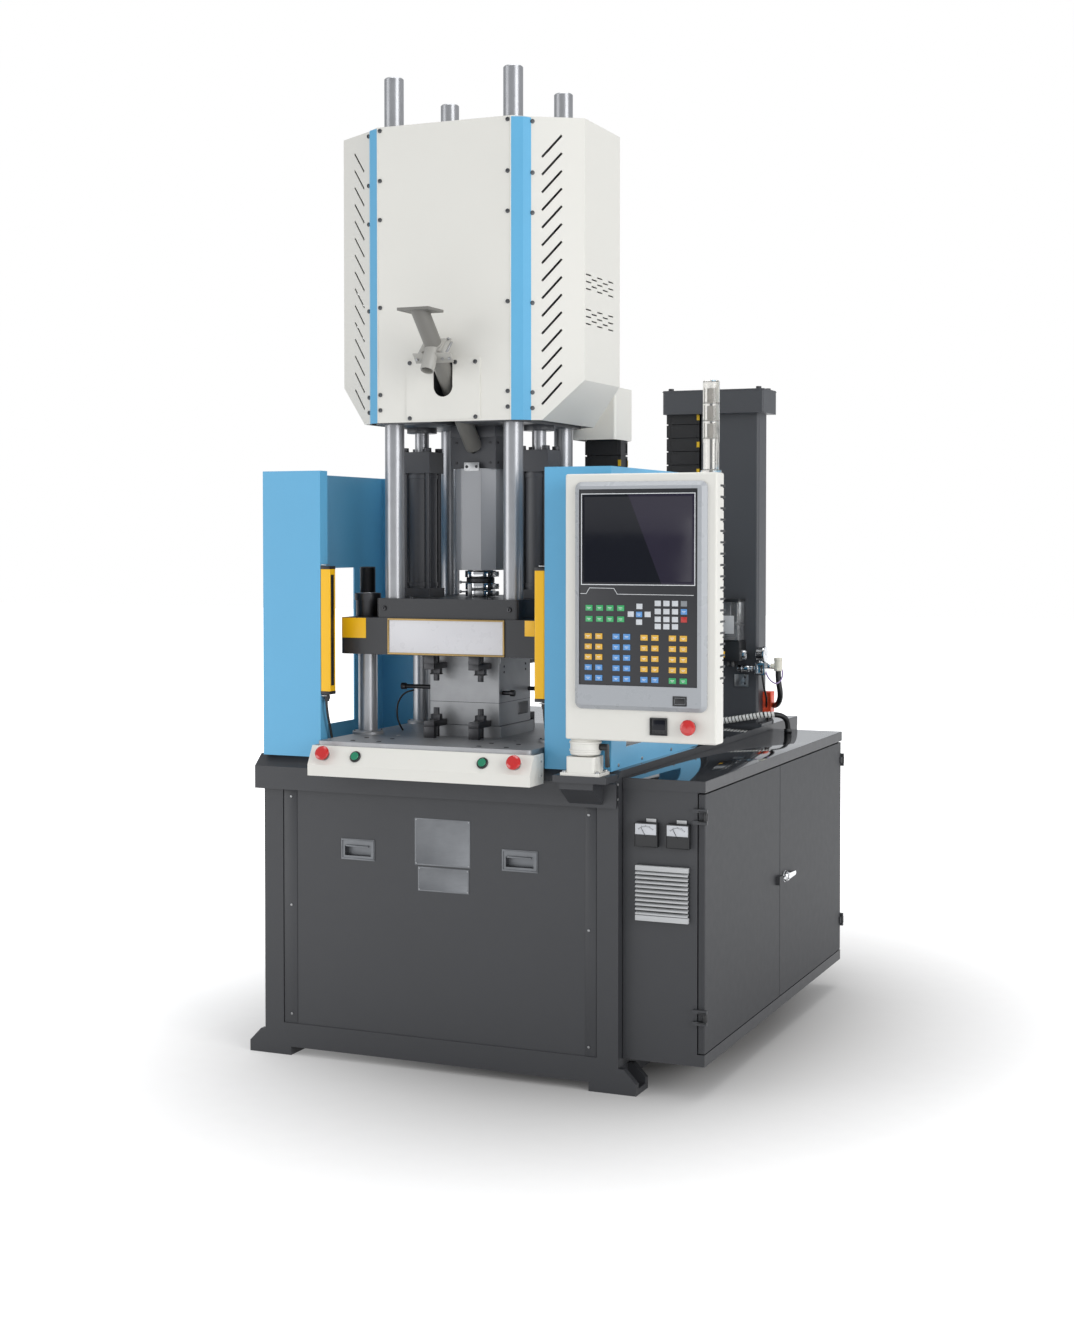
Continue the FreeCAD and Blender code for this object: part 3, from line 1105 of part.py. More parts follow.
tower_y = (from_front(tower_front), from_front(tower_back))
column = prism("tower_column", "XY", deck_top, tower_top, rectangle((tower_in, tower_out), tower_y))
round_edges(column, 10, is_upright)
doc.recompute()
pocket(column, "XY", deck_top + 4, tower_top + 1,
       rectangle((tower_in + 4, tower_out - 4), (tower_y[0] + 4, tower_y[1] - 4)))
chain_y = (from_front(chain_front), from_front(chain_back))
cable_y = from_front(sizes("cable run", cable_run_y=1275)[0])
wing = block("tower_wing", (cap_in + 4, tower_in + 6), (chain_y[1], chain_y[1] + 5),
             (deck_top, tower_top))
foot_pad = block("tower_foot", (cap_in + 4, tower_out + 16), (tower_y[0] - 12, tower_y[1] + 12),
                 (deck_top, deck_top + 10))
outlet = block("cable_outlet", (tower_in - 12, tower_in + 20), (cable_y - 18, tower_y[0] + 1),
               (deck_top, deck_top + 40))
cap = prism("cap", "XY", tower_top, cap_top, rectangle(
    (cap_in, cap_out), (from_front(cap_front), from_front(cap_back))))
round_edges(cap, 6, is_upright)
cap_bolts = [rod("cap_bolt", x, y, cap_top, 7, 7) for x in (cap_in + 22, cap_out - 22)
             for y in (from_front(cap_front) + 22, from_front(cap_back) - 22)]
node(fuse("tower_weld", column, wing, foot_pad, outlet, cap, *cap_bolts), "cable_tower")


def chain_shape():
    """Drag chain as one U of links: two upright legs and a half turn between them."""
    low_edge = chain_bend.value
    outer = (chain_y[1] - chain_y[0]).value / 2
    inner = outer - chain_thick.value
    turn_y = ((chain_y[0] + chain_y[1]) / 2).value
    rings = []
    for radius in (outer, inner):
        rings.append([V(0, turn_y - radius, low_edge), V(0, turn_y, low_edge - radius),
                      V(0, turn_y + radius, low_edge)])
    edges = [Part.LineSegment(V(0, turn_y - outer, chain_free.value), rings[0][0]),
             Part.Arc(*rings[0]),
             Part.LineSegment(rings[0][2], V(0, turn_y + outer, tower_top.value)),
             Part.LineSegment(V(0, turn_y + outer, tower_top.value),
                              V(0, turn_y + inner, tower_top.value)),
             Part.LineSegment(V(0, turn_y + inner, tower_top.value), rings[1][2]),
             Part.Arc(*reversed(rings[1])),
             Part.LineSegment(rings[1][0], V(0, turn_y - inner, chain_free.value)),
             Part.LineSegment(V(0, turn_y - inner, chain_free.value),
                              V(0, turn_y - outer, chain_free.value))]
    face = Part.Face(Part.Wire([edge.toShape() for edge in edges]))
    return face.extrude(V((chain_out - chain_in).value, 0, 0))


chain = doc.addObject("Part::Feature", "chain")
chain.Shape = chain_shape()
node(put(chain, chain_in, 0, 0), "drag_chain")

# ---------------------------------------------------------------- control panel

foot_half = sizes("post foot", foot_half=54)[0]
post_centre = from_front(post_y)
foot_flange = block("foot_flange", (post_x - foot_half, post_x + foot_half),
                    (post_centre - foot_half + 12, post_centre + foot_half - 22),
                    (bracket_high, bracket_high + 8))
square_post = prism("square_post", "XY", bracket_high, post_collar - 4, rectangle(
    (post_x - post_half, post_x + post_half), (post_centre - post_half, post_centre + post_half - 9)))
round_edges(square_post, 9, is_upright)
pivot = rod("pivot_pin", post_x, post_centre, post_collar - 10, 20, 36)
node(fuse("post_weld", foot_flange, square_post, pivot), "panel_post")

collar_top = panel_low
collar = turned("collar_body", [
    (20 + bar_fit, post_collar), (38, post_collar), (40, post_collar + 3), (40, collar_top - 8),
    (36, collar_top), (0, collar_top), (0, post_collar + 27), (20 + bar_fit, post_collar + 27)],
    post_x, post_centre)

panel_y = (from_front(panel_front), from_front(panel_front) + panel_depth)
back_bevel = sizes("panel back", back_bevel=25)[0]
housing = prism("housing", "XY", panel_low, panel_high, [
    (panel_left, panel_y[0]), (panel_right, panel_y[0]), (panel_right, panel_y[1] - back_bevel),
    (panel_right - back_bevel, panel_y[1]), (panel_left + back_bevel, panel_y[1]),
    (panel_left, panel_y[1] - back_bevel)])
round_edges(housing, 6, lambda middle, along: True)
doc.recompute()
slot = pocket(housing, "YZ", panel_right - 4, panel_right + 1,
              rectangle((panel_y[0] + 44, panel_y[0] + 66), (panel_low + 150, panel_low + 154)))
repeat(housing, slot, "Z", 493, 18)
doc.recompute()
stop_panel_x, stop_panel_z, panel_bore = sizes(
    "panel stop button", stop_panel_x=762, stop_panel_z=980, panel_bore=11)
pocket(housing, "XZ", panel_y[0] - 1, panel_y[0] + 40, circles=[(stop_panel_x, stop_panel_z)],
       radius=panel_bore)

bezel_left, bezel_right, bezel_low, bezel_high, bezel_depth, bezel_slope = sizes(
    "panel bezel", bezel_left=454, bezel_right=808, bezel_low=1018, bezel_high=1597,
    bezel_depth=16, bezel_slope=11)
bezel = prism("bezel_frame", "XZ", panel_y[0] - bezel_depth, panel_y[0],
              rectangle((bezel_left, bezel_right), (bezel_low, bezel_high)))
round_edges(bezel, 18, lambda middle, along: abs(along.y) > 0.99)
bezel_face = (panel_y[0] - bezel_depth).value
round_edges(bezel, bezel_slope, lambda middle, along: middle.y < bezel_face + 0.1, "Chamfer")
doc.recompute()
pocket(bezel, "XZ", panel_y[0] - bezel_depth - 1, panel_y[0] - bezel_depth + 3,
       rectangle((bezel_left + 14, bezel_right - 22), (bezel_low + 62, bezel_high - 19)))
node(bezel, "panel_bezel")

TO_FRONT = Rot(V(1, 0, 0), 90)
stop_bezel = turned("stop_bezel", [(8.05, -12), (10.8, -12), (10.8, 0), (14, 0), (14, 3),
                                   (12.5, 4.5), (8.05, 4.5)],
                    stop_panel_x, panel_y[0], stop_panel_z, TO_FRONT)
node(fuse("housing_set", housing, stop_bezel, collar), "panel_housing")
node(turned("panel_stop", stop_profile, stop_panel_x, panel_y[0], stop_panel_z, TO_FRONT),
     "panel_stop_button")

lamp_x, lamp_radius, lamp_base, lamp_top = sizes(
    "signal lamp", lamp_x=803, lamp_radius=21, lamp_base=1693, lamp_top=1848)
lamp_y = panel_y[0] + panel_depth / 2
lamp_foot = turned("lamp_foot", [
    (0, panel_high), (26, panel_high), (26, panel_high + 6), (20, panel_high + 8),
    (20, lamp_base), (0, lamp_base)], lamp_x, lamp_y)
lamp_lens = turned("lamp_lens", [
    (0, lamp_base), (lamp_radius, lamp_base), (lamp_radius, lamp_top - 3),
    (lamp_radius - 3, lamp_top), (0, lamp_top)], lamp_x, lamp_y)
node(fuse("lamp", lamp_foot, lamp_lens), "signal_lamp")

clamp_at = sizes("clamp lever height", clamp_at=915)[0]
lever_hub = rod("lever_hub", post_x + 40.4, post_centre, clamp_at, 9, 22, "x")
lever_bar = prism("lever_bar", "YZ", post_x + 55, post_x + 63, [
    (post_centre - 7, clamp_at + 4), (post_centre + 7, clamp_at + 4),
    (post_centre + 12, clamp_at - 52), (post_centre - 2, clamp_at - 52)])
node(fuse("clamp_handle", lever_hub, lever_bar), "clamp_lever")

# ---------------------------------------------------------------- hydraulics and grease unit

tank = prism("tank", "YZ", -430, 430, [
    (from_front(tank_y), rail_high), (from_front(tank_y + 860), rail_high),
    (from_front(tank_y + 860), tank_high), (from_front(tank_y), tank_high)])
round_edges(tank, 14, is_upright)
node(tank, "oil_tank")
motor_z = tank_high + 130
motor = rod("motor_can", -120, from_front(motor_y), motor_z, 105, motor_length, "y")
pump = rod("pump_can", -120, from_front(motor_y + motor_length), motor_z, 58, 150, "y")
motor_feet = block("motor_feet", (-210, -30), (from_front(motor_y + 30), from_front(motor_y + 320)),
                   (tank_high, motor_z - 70))
node(fuse("motor_weld", motor, pump, motor_feet), "pump_motor")

grease_x, grease_y, grease_low, grease_high, grease_half = sizes(
    "grease unit", grease_x=437, grease_y=1277, grease_low=1060, grease_high=1258,
    grease_half=38)
grease_box = prism("grease_box", "XY", grease_low, grease_low + 62, rectangle(
    (grease_x - grease_half, grease_x + grease_half), (from_front(grease_y) - 32, tower_y[0])))
round_edges(grease_box, 5, is_upright)
reservoir = prism("reservoir", "XY", grease_low + 62, grease_high, rectangle(
    (grease_x - grease_half + 3, grease_x + grease_half - 3),
    (from_front(grease_y) - 30, from_front(grease_y) + 34)))
round_edges(reservoir, 10, is_upright)
node(fuse("grease_set", grease_box, reservoir), "grease_unit")
gauge_y, gauge_x, gauge_z, hose_x, gauge_radius = sizes(
    "pressure gauge", gauge_depth=1293, gauge_x=534, gauge_z=1082, hose_x=590, gauge_radius=22)
gauge_y = from_front(gauge_y)
gauge_arm = rod("gauge_arm", grease_x + grease_half, gauge_y, 1036, 8, 60, "x")
gauge_block = block("gauge_block", (gauge_x - 14, gauge_x + 14), (gauge_y - 14, gauge_y + 14),
                    (1018, 1052))
gauge_stem = rod("gauge_stem", gauge_x, gauge_y, 1050, 8, 20)
gauge = rod("gauge_can", gauge_x - 13, gauge_y, gauge_z, gauge_radius, 26, "x")
gauge_ring = rod("gauge_ring", gauge_x + 7, gauge_y, gauge_z, gauge_radius + 3, 8, "x")
hose_stub = rod("hose_stub", gauge_x + 12, gauge_y, 1044, 6, hose_x - gauge_x - 12, "x")
hose_elbow = rod("hose_elbow", hose_x, gauge_y, 1030, 12, 38)
node(fuse("gauge_weld", gauge_arm, gauge_block, gauge_stem, gauge, gauge_ring, hose_stub,
          hose_elbow), "pressure_gauge")

# Held hoses and cables: whole tubes along straight runs with tangent arcs.


def hose(name, route, radius):
    """A round tube along straight runs with an arc at each corner, as large as its runs allow."""
    places = [V(*[Dim(c).value for c in point]) for point in route]
    edges = []
    last = places[0]
    for before, corner_at, after in zip(places, places[1:], places[2:]):
        back, ahead = before - corner_at, after - corner_at
        reach = 0.45 * min(back.Length, ahead.Length)
        half_turn = (radians(180) - back.getAngle(ahead)) / 2
        bend = reach / tan(half_turn)
        back.normalize()
        ahead.normalize()
        start, end = corner_at + back * reach, corner_at + ahead * reach
        bisector = (back + ahead).normalize()
        peak = corner_at + bisector * (bend / cos(half_turn) - bend)
        edges += [Part.LineSegment(last, start), Part.Arc(start, peak, end)]
        print("%s arc radius %.0f mm" % (name, bend))
        last = end
    edges.append(Part.LineSegment(last, places[-1]))
    path = Part.Wire([edge.toShape() for edge in edges])
    ring = Part.Circle(places[0], places[1] - places[0], Dim(radius).value).toShape()
    tube = path.makePipeShell([Part.Wire([ring])], True, False)
    expected = 3.14159265 * Dim(radius).value ** 2 * path.Length
    print("%s volume over section times length %.4f" % (name, tube.Volume / expected))
    made = doc.addObject("Part::Feature", name)
    made.Shape = tube
    return made


hose_radius, cable_radius, curtain_radius = sizes(
    "hoses", hose_radius=9, cable_radius=10, curtain_radius=3.5)
node(hose("pressure_hose", [
    (hose_x, gauge_y, 1029.5), (hose_x, gauge_y, 1000), (hose_x + 6, gauge_y + 8, 956),
    (hose_x - 6, gauge_y + 36, 928), (hose_x - 30, gauge_y + 86, 912),
    (hose_x - 54, gauge_y + 130, 907), (gland_x, gland_y, 896),
    (gland_x, gland_y, deck_top + 15.5)], hose_radius), "pressure_hose")
node(hose("wrapped_cable", [
    (tower_in + 20.5, cable_y, deck_top + 16), (tower_in + 62, cable_y, deck_top + 16),
    (tower_in + 104, cable_y + 2, deck_top + 20), (tower_in + 160, cable_y + 8, deck_top + 30),
    (tower_in + 220, cable_y + 20, deck_top + 40), (tower_in + 264, cable_y + 38, deck_top + 42),
    (tower_in + 284, cable_y + 58, deck_top + 32), (tower_in + 290, cable_y + 72, deck_top + 10),
    (tower_in + 290, cable_y + 72, cabinet_lid + 0.5)], cable_radius), "wrapped_cable")
curtain_cables = []
for x in (guard_left_in + 15, guard_right_in - 4.5):
    curtain_cables.append(hose("curtain_cable", [
        (x, from_front(-2), curtain_low), (x, from_front(-2), curtain_low - 36),
        (x, from_front(8), curtain_low - 76), (x, from_front(24), curtain_low - 116),
        (x, from_front(34), curtain_low - 154), (x, from_front(34), deck_top + 4)], curtain_radius))
node(group("curtain_cable_set", *curtain_cables), "curtain_cables")

# ---------------------------------------------------------------- checks and files

doc.recompute()
os.makedirs("parts", exist_ok=True)
for thing in doc.Objects:
    for fault in ("Invalid", "Error"):
        if fault in thing.State:
            raise RuntimeError("%s is %s" % (thing.Label, fault))
for thing in NODES:
    if thing.Shape.isNull() or not thing.Shape.isValid() or not thing.Shape.Solids:
        raise RuntimeError("%s has no valid solid" % thing.Label)
for thing in NODES:
    thing.Shape.exportStep("parts/%s.step" % thing.Label)
print("%d sub-parts written" % len(NODES))
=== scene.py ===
from math import cos, pi, radians, sin

import bpy
from mathutils import Matrix, Vector


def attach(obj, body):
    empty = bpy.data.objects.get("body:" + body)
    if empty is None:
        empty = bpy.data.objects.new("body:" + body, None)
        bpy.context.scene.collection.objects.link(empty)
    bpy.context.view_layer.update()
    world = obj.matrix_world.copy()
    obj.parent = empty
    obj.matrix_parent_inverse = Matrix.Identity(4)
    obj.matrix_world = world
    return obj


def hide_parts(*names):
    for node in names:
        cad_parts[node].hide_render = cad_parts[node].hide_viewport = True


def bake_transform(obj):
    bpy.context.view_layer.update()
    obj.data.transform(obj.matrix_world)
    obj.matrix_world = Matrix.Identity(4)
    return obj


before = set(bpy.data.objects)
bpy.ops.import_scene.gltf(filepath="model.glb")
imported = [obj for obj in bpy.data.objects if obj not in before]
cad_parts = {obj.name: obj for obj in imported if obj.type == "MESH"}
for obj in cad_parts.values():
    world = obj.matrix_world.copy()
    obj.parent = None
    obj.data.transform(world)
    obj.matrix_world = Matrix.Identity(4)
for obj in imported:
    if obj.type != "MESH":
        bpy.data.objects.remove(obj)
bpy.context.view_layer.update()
bpy.context.scene.view_settings.view_transform = "Standard"

# ----- camera
# The photographer stood at the operator's right, about five metres off and a little below eye
# height, and kept the camera almost level, so the uprights stay parallel.


def show(thing):
    """Put a new object into the scene."""
    bpy.context.scene.collection.objects.link(thing)


camera = bpy.data.cameras.new("studio_camera")
camera.sensor_width = 36
camera.lens = 52.18
camera.shift_y = -0.0535
tripod = bpy.data.objects.new("studio_camera", camera)
tripod.location = (2.305, -5.5435, 1.450)
tripod.rotation_euler = (radians(90 - 1.611), 0, radians(23.163))
show(tripod)
bpy.context.scene.camera = tripod

# ----- studio floor and light
# A white paper floor that runs out of sight, with a painted shadow: grey in an oval under the
# machine and glowing up to white beyond it. One big soft box stands on the operator's right, a
# weaker one on the left, and a wide one hangs overhead and draws lines on the bars.


def linear(code):
    """An sRGB colour code as the linear colour that a shader takes."""
    parts = [int(code[i:i + 2], 16) / 255 for i in (0, 2, 4)]
    return [c / 12.92 if c <= 0.04045 else ((c + 0.055) / 1.055) ** 2.4 for c in parts] + [1]


def add(material, kind, settings=None, **inputs):
    """Add one node: settings are its own choices, inputs are values, or sockets and nodes to link
    to, a node giving its first output."""
    node = material.node_tree.nodes.new("ShaderNode" + kind)
    for name, value in (settings or {}).items():
        setattr(node, name, value)
    for name, value in inputs.items():
        socket = node.inputs[int(name[1:]) if name[0] == "_" else name.replace("_", " ")]
        if isinstance(value, bpy.types.Node):
            value = value.outputs[0]
        if isinstance(value, bpy.types.NodeSocket):
            material.node_tree.links.new(value, socket)
        else:
            socket.default_value = value
    return node


def blank(name):
    """A new material with an empty node tree."""
    material = bpy.data.materials.new(name)
    material.use_nodes = True
    material.node_tree.nodes.clear()
    return material


def deselect():
    bpy.ops.object.select_all(action="DESELECT")


deselect()
bpy.ops.mesh.primitive_plane_add(size=60, location=(0, 0, 0))
floor = bpy.context.object
floor.name = "paper_floor"
paper = blank("paper_floor")
WHITE_LIGHT = (1, 1, 1, 1)
weave = add(paper, "TexNoise", Scale=900.0, Detail=2.0).outputs["Fac"]
paper_colour = add(paper, "MixRGB", _0=weave, _1=linear("DCDCDC"), _2=linear("E6E6E6"))
matt = add(paper, "BsdfDiffuse", Color=paper_colour)
# The grey oval is painted shadow: towards its middle the paper's colour goes grey and its glow
# dies away.
oval_shape, oval_centre, oval_start, oval_end = (0.75, 0.57, 0), (0.2, -0.08, 0), 0.32, 1.75
oval = add(paper, "VectorMath", {"operation": "MULTIPLY"},
           _0=add(paper, "TexCoord").outputs["Object"], _1=oval_shape).outputs["Vector"]
from_centre = add(paper, "VectorMath", {"operation": "DISTANCE"}, _0=oval, _1=oval_centre)
painted_shadow_fade = add(paper, "MapRange", Value=from_centre.outputs["Value"], _1=oval_start, _2=oval_end,
           _3=0.0, _4=1.0)
# Painted shadow: the paper turns grey towards the middle of the oval.
painted_shadow_colour = add(paper, "MixRGB", _0=painted_shadow_fade, _1=linear("BFBDBB"), _2=paper_colour)
near = add(paper, "BsdfDiffuse", Color=painted_shadow_colour)
glow = add(paper, "Emission", Color=WHITE_LIGHT, Strength=painted_shadow_fade)
bright = add(paper, "AddShader", _0=near, _1=glow)
path = add(paper, "LightPath")
seen = add(paper, "Math", {"operation": "MAXIMUM"}, _0=path.outputs["Is Camera Ray"],
           _1=path.outputs["Is Glossy Ray"])
bounce = add(paper, "Emission", Color=WHITE_LIGHT, Strength=0.08)
under = add(paper, "AddShader", _0=matt, _1=bounce)
lit = add(paper, "MixShader", _0=seen, _1=under, _2=bright)
add(paper, "OutputMaterial", Surface=lit)
floor.data.materials.append(paper)

world = bpy.data.worlds.new("studio")
bpy.context.scene.world = world
world.use_nodes = True
world.node_tree.nodes.clear()
path = add(world, "LightPath")
mirrored = add(world, "Math", {"operation": "MAXIMUM"}, _0=path.outputs["Is Camera Ray"],
               _1=path.outputs["Is Transmission Ray"])
bare = add(world, "Background", Color=WHITE_LIGHT, Strength=1.0)
room = add(world, "Background", Color=linear("EDF0F4"), Strength=0.6)
behind = add(world, "MixShader", _0=mirrored, _1=room, _2=bare)
add(world, "OutputWorld", Surface=behind)


def soft_box(name, place, target, size, power):
    """A soft box in metres and watts that looks from its place at a target."""
    lamp = bpy.data.lights.new(name, "AREA")
    lamp.shape = "RECTANGLE"
    lamp.size, lamp.size_y = size
    lamp.energy = power
    holder = bpy.data.objects.new(name, lamp)
    holder.location = place
    holder.rotation_euler = (Vector(target) - Vector(place)).to_track_quat("-Z", "Y").to_euler()
    show(holder)


soft_box("key_box", (8.8, -4.8, 3.6), (0.1, -0.2, 1.2), (6.0, 6.0), 450)
soft_box("fill_box", (-7.4, -6.8, 2.4), (0, -0.6, 1.2), (6.0, 5.5), 240)
soft_box("top_box", (0.3, 0.2, 8.0), (0, -0.2, 1.0), (5.0, 5.0), 260)

# ----- welded base and covers
# A frame welded from folded steel sheet on four cast feet, closed by screwed-on covers, all in
# one dark grey powder coat: a fine orange peel, matt enough to show no reflections.


def surface(material, colour, tone, rough, relief, depth, drop, metal=0.0, **more):
    """The one shader of a finish: its colour brightened by a tone, its roughness, and a relief
    whose full height is drop, in metres."""
    shade = add(material, "HueSaturation", Color=colour, Value=tone)
    bump = add(material, "Bump", Height=relief, Strength=depth, Distance=drop)
    shader = add(material, "BsdfPrincipled", Base_Color=shade, Roughness=rough,
                 Metallic=metal, Normal=bump, **more)
    add(material, "OutputMaterial", Surface=shader)


def noise(material, place, scale, detail):
    """A soft pattern, scale being how many of its cells make one metre."""
    return add(material, "TexNoise", Vector=place, Scale=scale, Detail=detail).outputs["Fac"]


def span(material, value, low, high):
    """Stretch a pattern's middle values to a low and a high number."""
    return add(material, "MapRange", Value=value, _1=0.3, _2=0.7, _3=low, _4=high)


def painted(name, code, gloss, peel_mm=1.6, depth=0.35, drift=0.035, coat=0.0):
    """Sprayed or powder-coated paint; peel_mm is the size of its orange peel."""
    material = blank(name)
    place = add(material, "TexCoord").outputs["Object"]
    drifting = noise(material, place, 3.2, 3.0)
    peel = noise(material, place, 1000 / peel_mm, 1.0)
    dust = noise(material, place, 38.0, 4.0)
    surface(material, linear(code), span(material, drifting, 1 - drift, 1 + drift),
            span(material, dust, gloss - 0.015, gloss + 0.02), peel, depth, 0.00012,
            Coat_Weight=coat, Coat_Roughness=0.05, IOR=1.5)
    return material


def machined(name, code, gloss, stretch, line_mm, depth=0.3, spread=0.08, metal=1.0):
    """Bare metal with tool lines; stretch says how long a line runs along X, Y and Z."""
    material = blank(name)
    place = add(material, "TexCoord").outputs["Object"]
    scaled = add(material, "Mapping", Vector=place, Scale=[1 / s for s in stretch])
    lines = noise(material, scaled, 1000 / line_mm, 2.0)
    cloud = noise(material, place, 22.0, 4.0)
    surface(material, linear(code), span(material, cloud, 0.93, 1.04),
            span(material, lines, gloss - spread / 2, gloss + spread), lines, depth, 0.0001, metal)
    return material


def coat(finish, *names):
    """Give CAD pieces their finish."""
    for name in names:
        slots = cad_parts[name].data.materials
        for index in range(len(slots)):
            slots[index] = finish


def only(piece):
    """Select one piece alone and make it the active one."""
    deselect()
    piece.select_set(True)
    bpy.context.view_layer.objects.active = piece


def block(low, high):
    """A plain block between two corners in mm, with its place in its mesh."""
    deselect()
    bpy.ops.mesh.primitive_cube_add(size=1, location=[(a + b) / 2000 for a, b in zip(low, high)])
    piece = bpy.context.object
    piece.scale = [abs(b - a) / 1000 for a, b in zip(low, high)]
    bpy.ops.object.transform_apply(location=True, rotation=True, scale=True)
    return piece


def rod(radius, start, end, sides=32):
    """A round bar between two points in mm, with its place in its mesh."""
    deselect()
    start, end = Vector(start) / 1000, Vector(end) / 1000
    turn = (end - start).to_track_quat("Z", "Y").to_euler()
    bpy.ops.mesh.primitive_cylinder_add(vertices=sides, radius=radius / 1000,
                                        depth=(end - start).length, location=(start + end) / 2,
                                        rotation=turn)
    bpy.ops.object.transform_apply(location=True, rotation=True, scale=True)
    return bpy.context.object


def upright(radius, x, y, low, high, sides=32):
    """A round bar that stands on a place between two heights in mm."""
    return rod(radius, (x, y, low), (x, y, high), sides)


def mode(name):
    """Go into EDIT or OBJECT mode with the active piece."""
    bpy.ops.object.mode_set(mode=name)


def choose(piece, test):
    """Go into edit mode with just the faces selected that pass a test."""
    only(piece)
    mode("EDIT")
    bpy.ops.mesh.select_mode(type="FACE")
    bpy.ops.mesh.select_all(action="DESELECT")
    mode("OBJECT")
    for face in piece.data.polygons:
        face.select = test(face)
    mode("EDIT")


def sink(piece, way, rim, depth):
    """Inset the faces that look one way by a rim and push them in, both in mm."""
    way = Vector(way).normalized()
    choose(piece, lambda face: face.normal.dot(way) > 0.95)
    bpy.ops.mesh.inset(thickness=rim / 1000)
    bpy.ops.mesh.extrude_region_move(TRANSFORM_OT_translate={"value": way * (-depth / 1000)})
    mode("OBJECT")
    return piece


UP, FRONT, BACK, LEFT, RIGHT = (0, 0, 1), (0, -1, 0), (0, 1, 0), (-1, 0, 0), (1, 0, 0)


def aim(place, way=UP):
    """Where a piece modelled looking up goes, to look one way from a place in mm."""
    turn = Vector(way).to_track_quat("Z", "Y").to_matrix().to_4x4()
    return Matrix.Translation(Vector(place) / 1000) @ turn


def grid(xs, ys, zs, way=UP):
    """Aims at every place where these measures in mm meet, each one number or a set of them."""
    xs, ys, zs = [m if isinstance(m, tuple) else (m,) for m in (xs, ys, zs)]
    return [aim((x, y, z), way) for x in xs for y in ys for z in zs]


def joined(pieces):
    """Several meshes made one piece."""
    deselect()
    for piece in pieces:
        piece.select_set(True)
    bpy.context.view_layer.objects.active = pieces[0]
    bpy.ops.object.join()
    return pieces[0]


def set_out(pattern, aims):
    """Copies of one pattern, each with its own mesh, set out and joined to one piece."""
    copies = []
    for where in aims:
        copy = pattern.copy()
        copy.data = pattern.data.copy()
        copy.data.transform(where)
        show(copy)
        copies.append(copy)
    bpy.data.objects.remove(pattern)
    return joined(copies)


def dress(piece, name, finish):
    """Shade a piece smooth between its edges and give it its name and finish."""
    only(piece)
    bpy.ops.object.shade_smooth_by_angle(angle=radians(40))
    piece.name = piece.data.name = name
    piece.data.materials.clear()
    piece.data.materials.append(finish)


def settle(piece, name, finish, body="machine_base", edge=0.5):
    """Join a piece's parts if it has several, break its sharp edges by so many mm, give it its
    name and finish, and fix it to its body."""
    if isinstance(piece, list):
        piece = joined(piece)
    if edge:
        only(piece)
        broken = piece.modifiers.new("broken_edges", "BEVEL")
        broken.width = edge / 1000
        broken.segments = 2
        broken.limit_method = "ANGLE"
        bpy.ops.object.modifier_apply(modifier="broken_edges")
    dress(piece, name, finish)
    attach(piece, body)
    return piece


def row(name, pattern, aims, finish, body="machine_base", edge=0):
    """Settle a set of like parts, such as screws, as one piece."""
    settle(set_out(pattern, aims), name, finish, body, edge)


def screw_head(radius, height):
    """A button-head socket screw, modelled looking up: a domed head with a recess."""
    head = rod(radius, (0, 0, 0), (0, 0, height), sides=20)
    choose(head, lambda face: face.normal.z > 0.95)
    bpy.ops.mesh.bevel(offset=height * 0.55 / 1000, segments=2)
    mode("OBJECT")
    return sink(head, UP, radius * 0.22, height * 0.6)


DARK = painted("dark_grey_powder_coat", "353639", 0.46, peel_mm=1.4, depth=0.5)
ZINC = machined("zinc_plated_steel", "A9AAAB", 0.34, (1, 1, 1), 1.0, depth=0.2)
SILVER = machined("satin_anodised_aluminium", "727477", 0.46, (40, 1, 1), 0.7,
                  depth=0.15)
coat(DARK, "base_frame", "front_cover", "side_and_rear_covers", "deck")
coat(SILVER, "flush_pulls")

cover_y = -860.5
strips = [block((x, cover_y - 1.4, 92), (x + width, cover_y - 0.1, 754))
          for x, width in ((-471, 42), (440, 31))]
settle(strips, "cover_edge_strips", DARK, edge=0.6)
screws = grid(-447, cover_y - 1.4, (730.7, 425.7, 118.2), FRONT)
screws += grid(450, cover_y - 1.4, (728.5, 424.4, 115.6), FRONT)
screws += grid((-450, 0, 450), 861, (118, 425, 730), BACK)
screws += grid(-530, (-780, 0, 780), (118, 425, 730), LEFT)
screws += grid(534, -870, (774.6, 813), RIGHT)
row("cover_screws", screw_head(3.4, 2.2), screws, ZINC)

plates = [block((-60.6, cover_y - 1, 564.3), (106.3, cover_y - 0.1, 692.4)),
          block((-51.1, cover_y - 1, 493.6), (102, cover_y - 0.1, 559.7))]
for plate in plates:
    sink(plate, FRONT, 4, 0.3)
settle(plates, "bare_rating_plates", SILVER, edge=0.2)
corners = [(x, z) for x in (-56, 101.5) for z in (569, 688)]
corners += [(x, z) for x in (-47, 98) for z in (498, 555)]
rivets = [aim((x, cover_y - 1, z), FRONT) for x, z in corners]
row("rating_plate_rivets", screw_head(1.7, 1), rivets, ZINC)

# Each flush pull is pressed from one sheet: a raised bead runs round its rim, and the hand
# hooks behind a lip over the cup.


def frame_of(low, high, width):
    """Four bars round an upright opening that faces the operator."""
    (left, near, foot), (right, far, top) = low, high
    return [block((left, near, foot), (right, far, foot + width)),
            block((left, near, top - width), (right, far, top)),
            block((left, near, foot + width), (left + width, far, top - width)),
            block((right - width, near, foot + width), (right, far, top - width))]


pulls = []
for x in (-236, 252):
    pulls += frame_of((x - 50, cover_y - 3.6, 567), (x + 50, cover_y - 1.9, 621), 3)
    pulls.append(block((x - 36, cover_y - 7, 602), (x + 36, cover_y - 1.9, 606)))
settle(pulls, "pull_beads_and_lips", SILVER, edge=0.6)

# ----- deck top
# The deck and the cabinet lid are topped with stoved black lacquer, rolled on thick and baked:
# deep black, with a clear mirror of the guards and the panel in it.

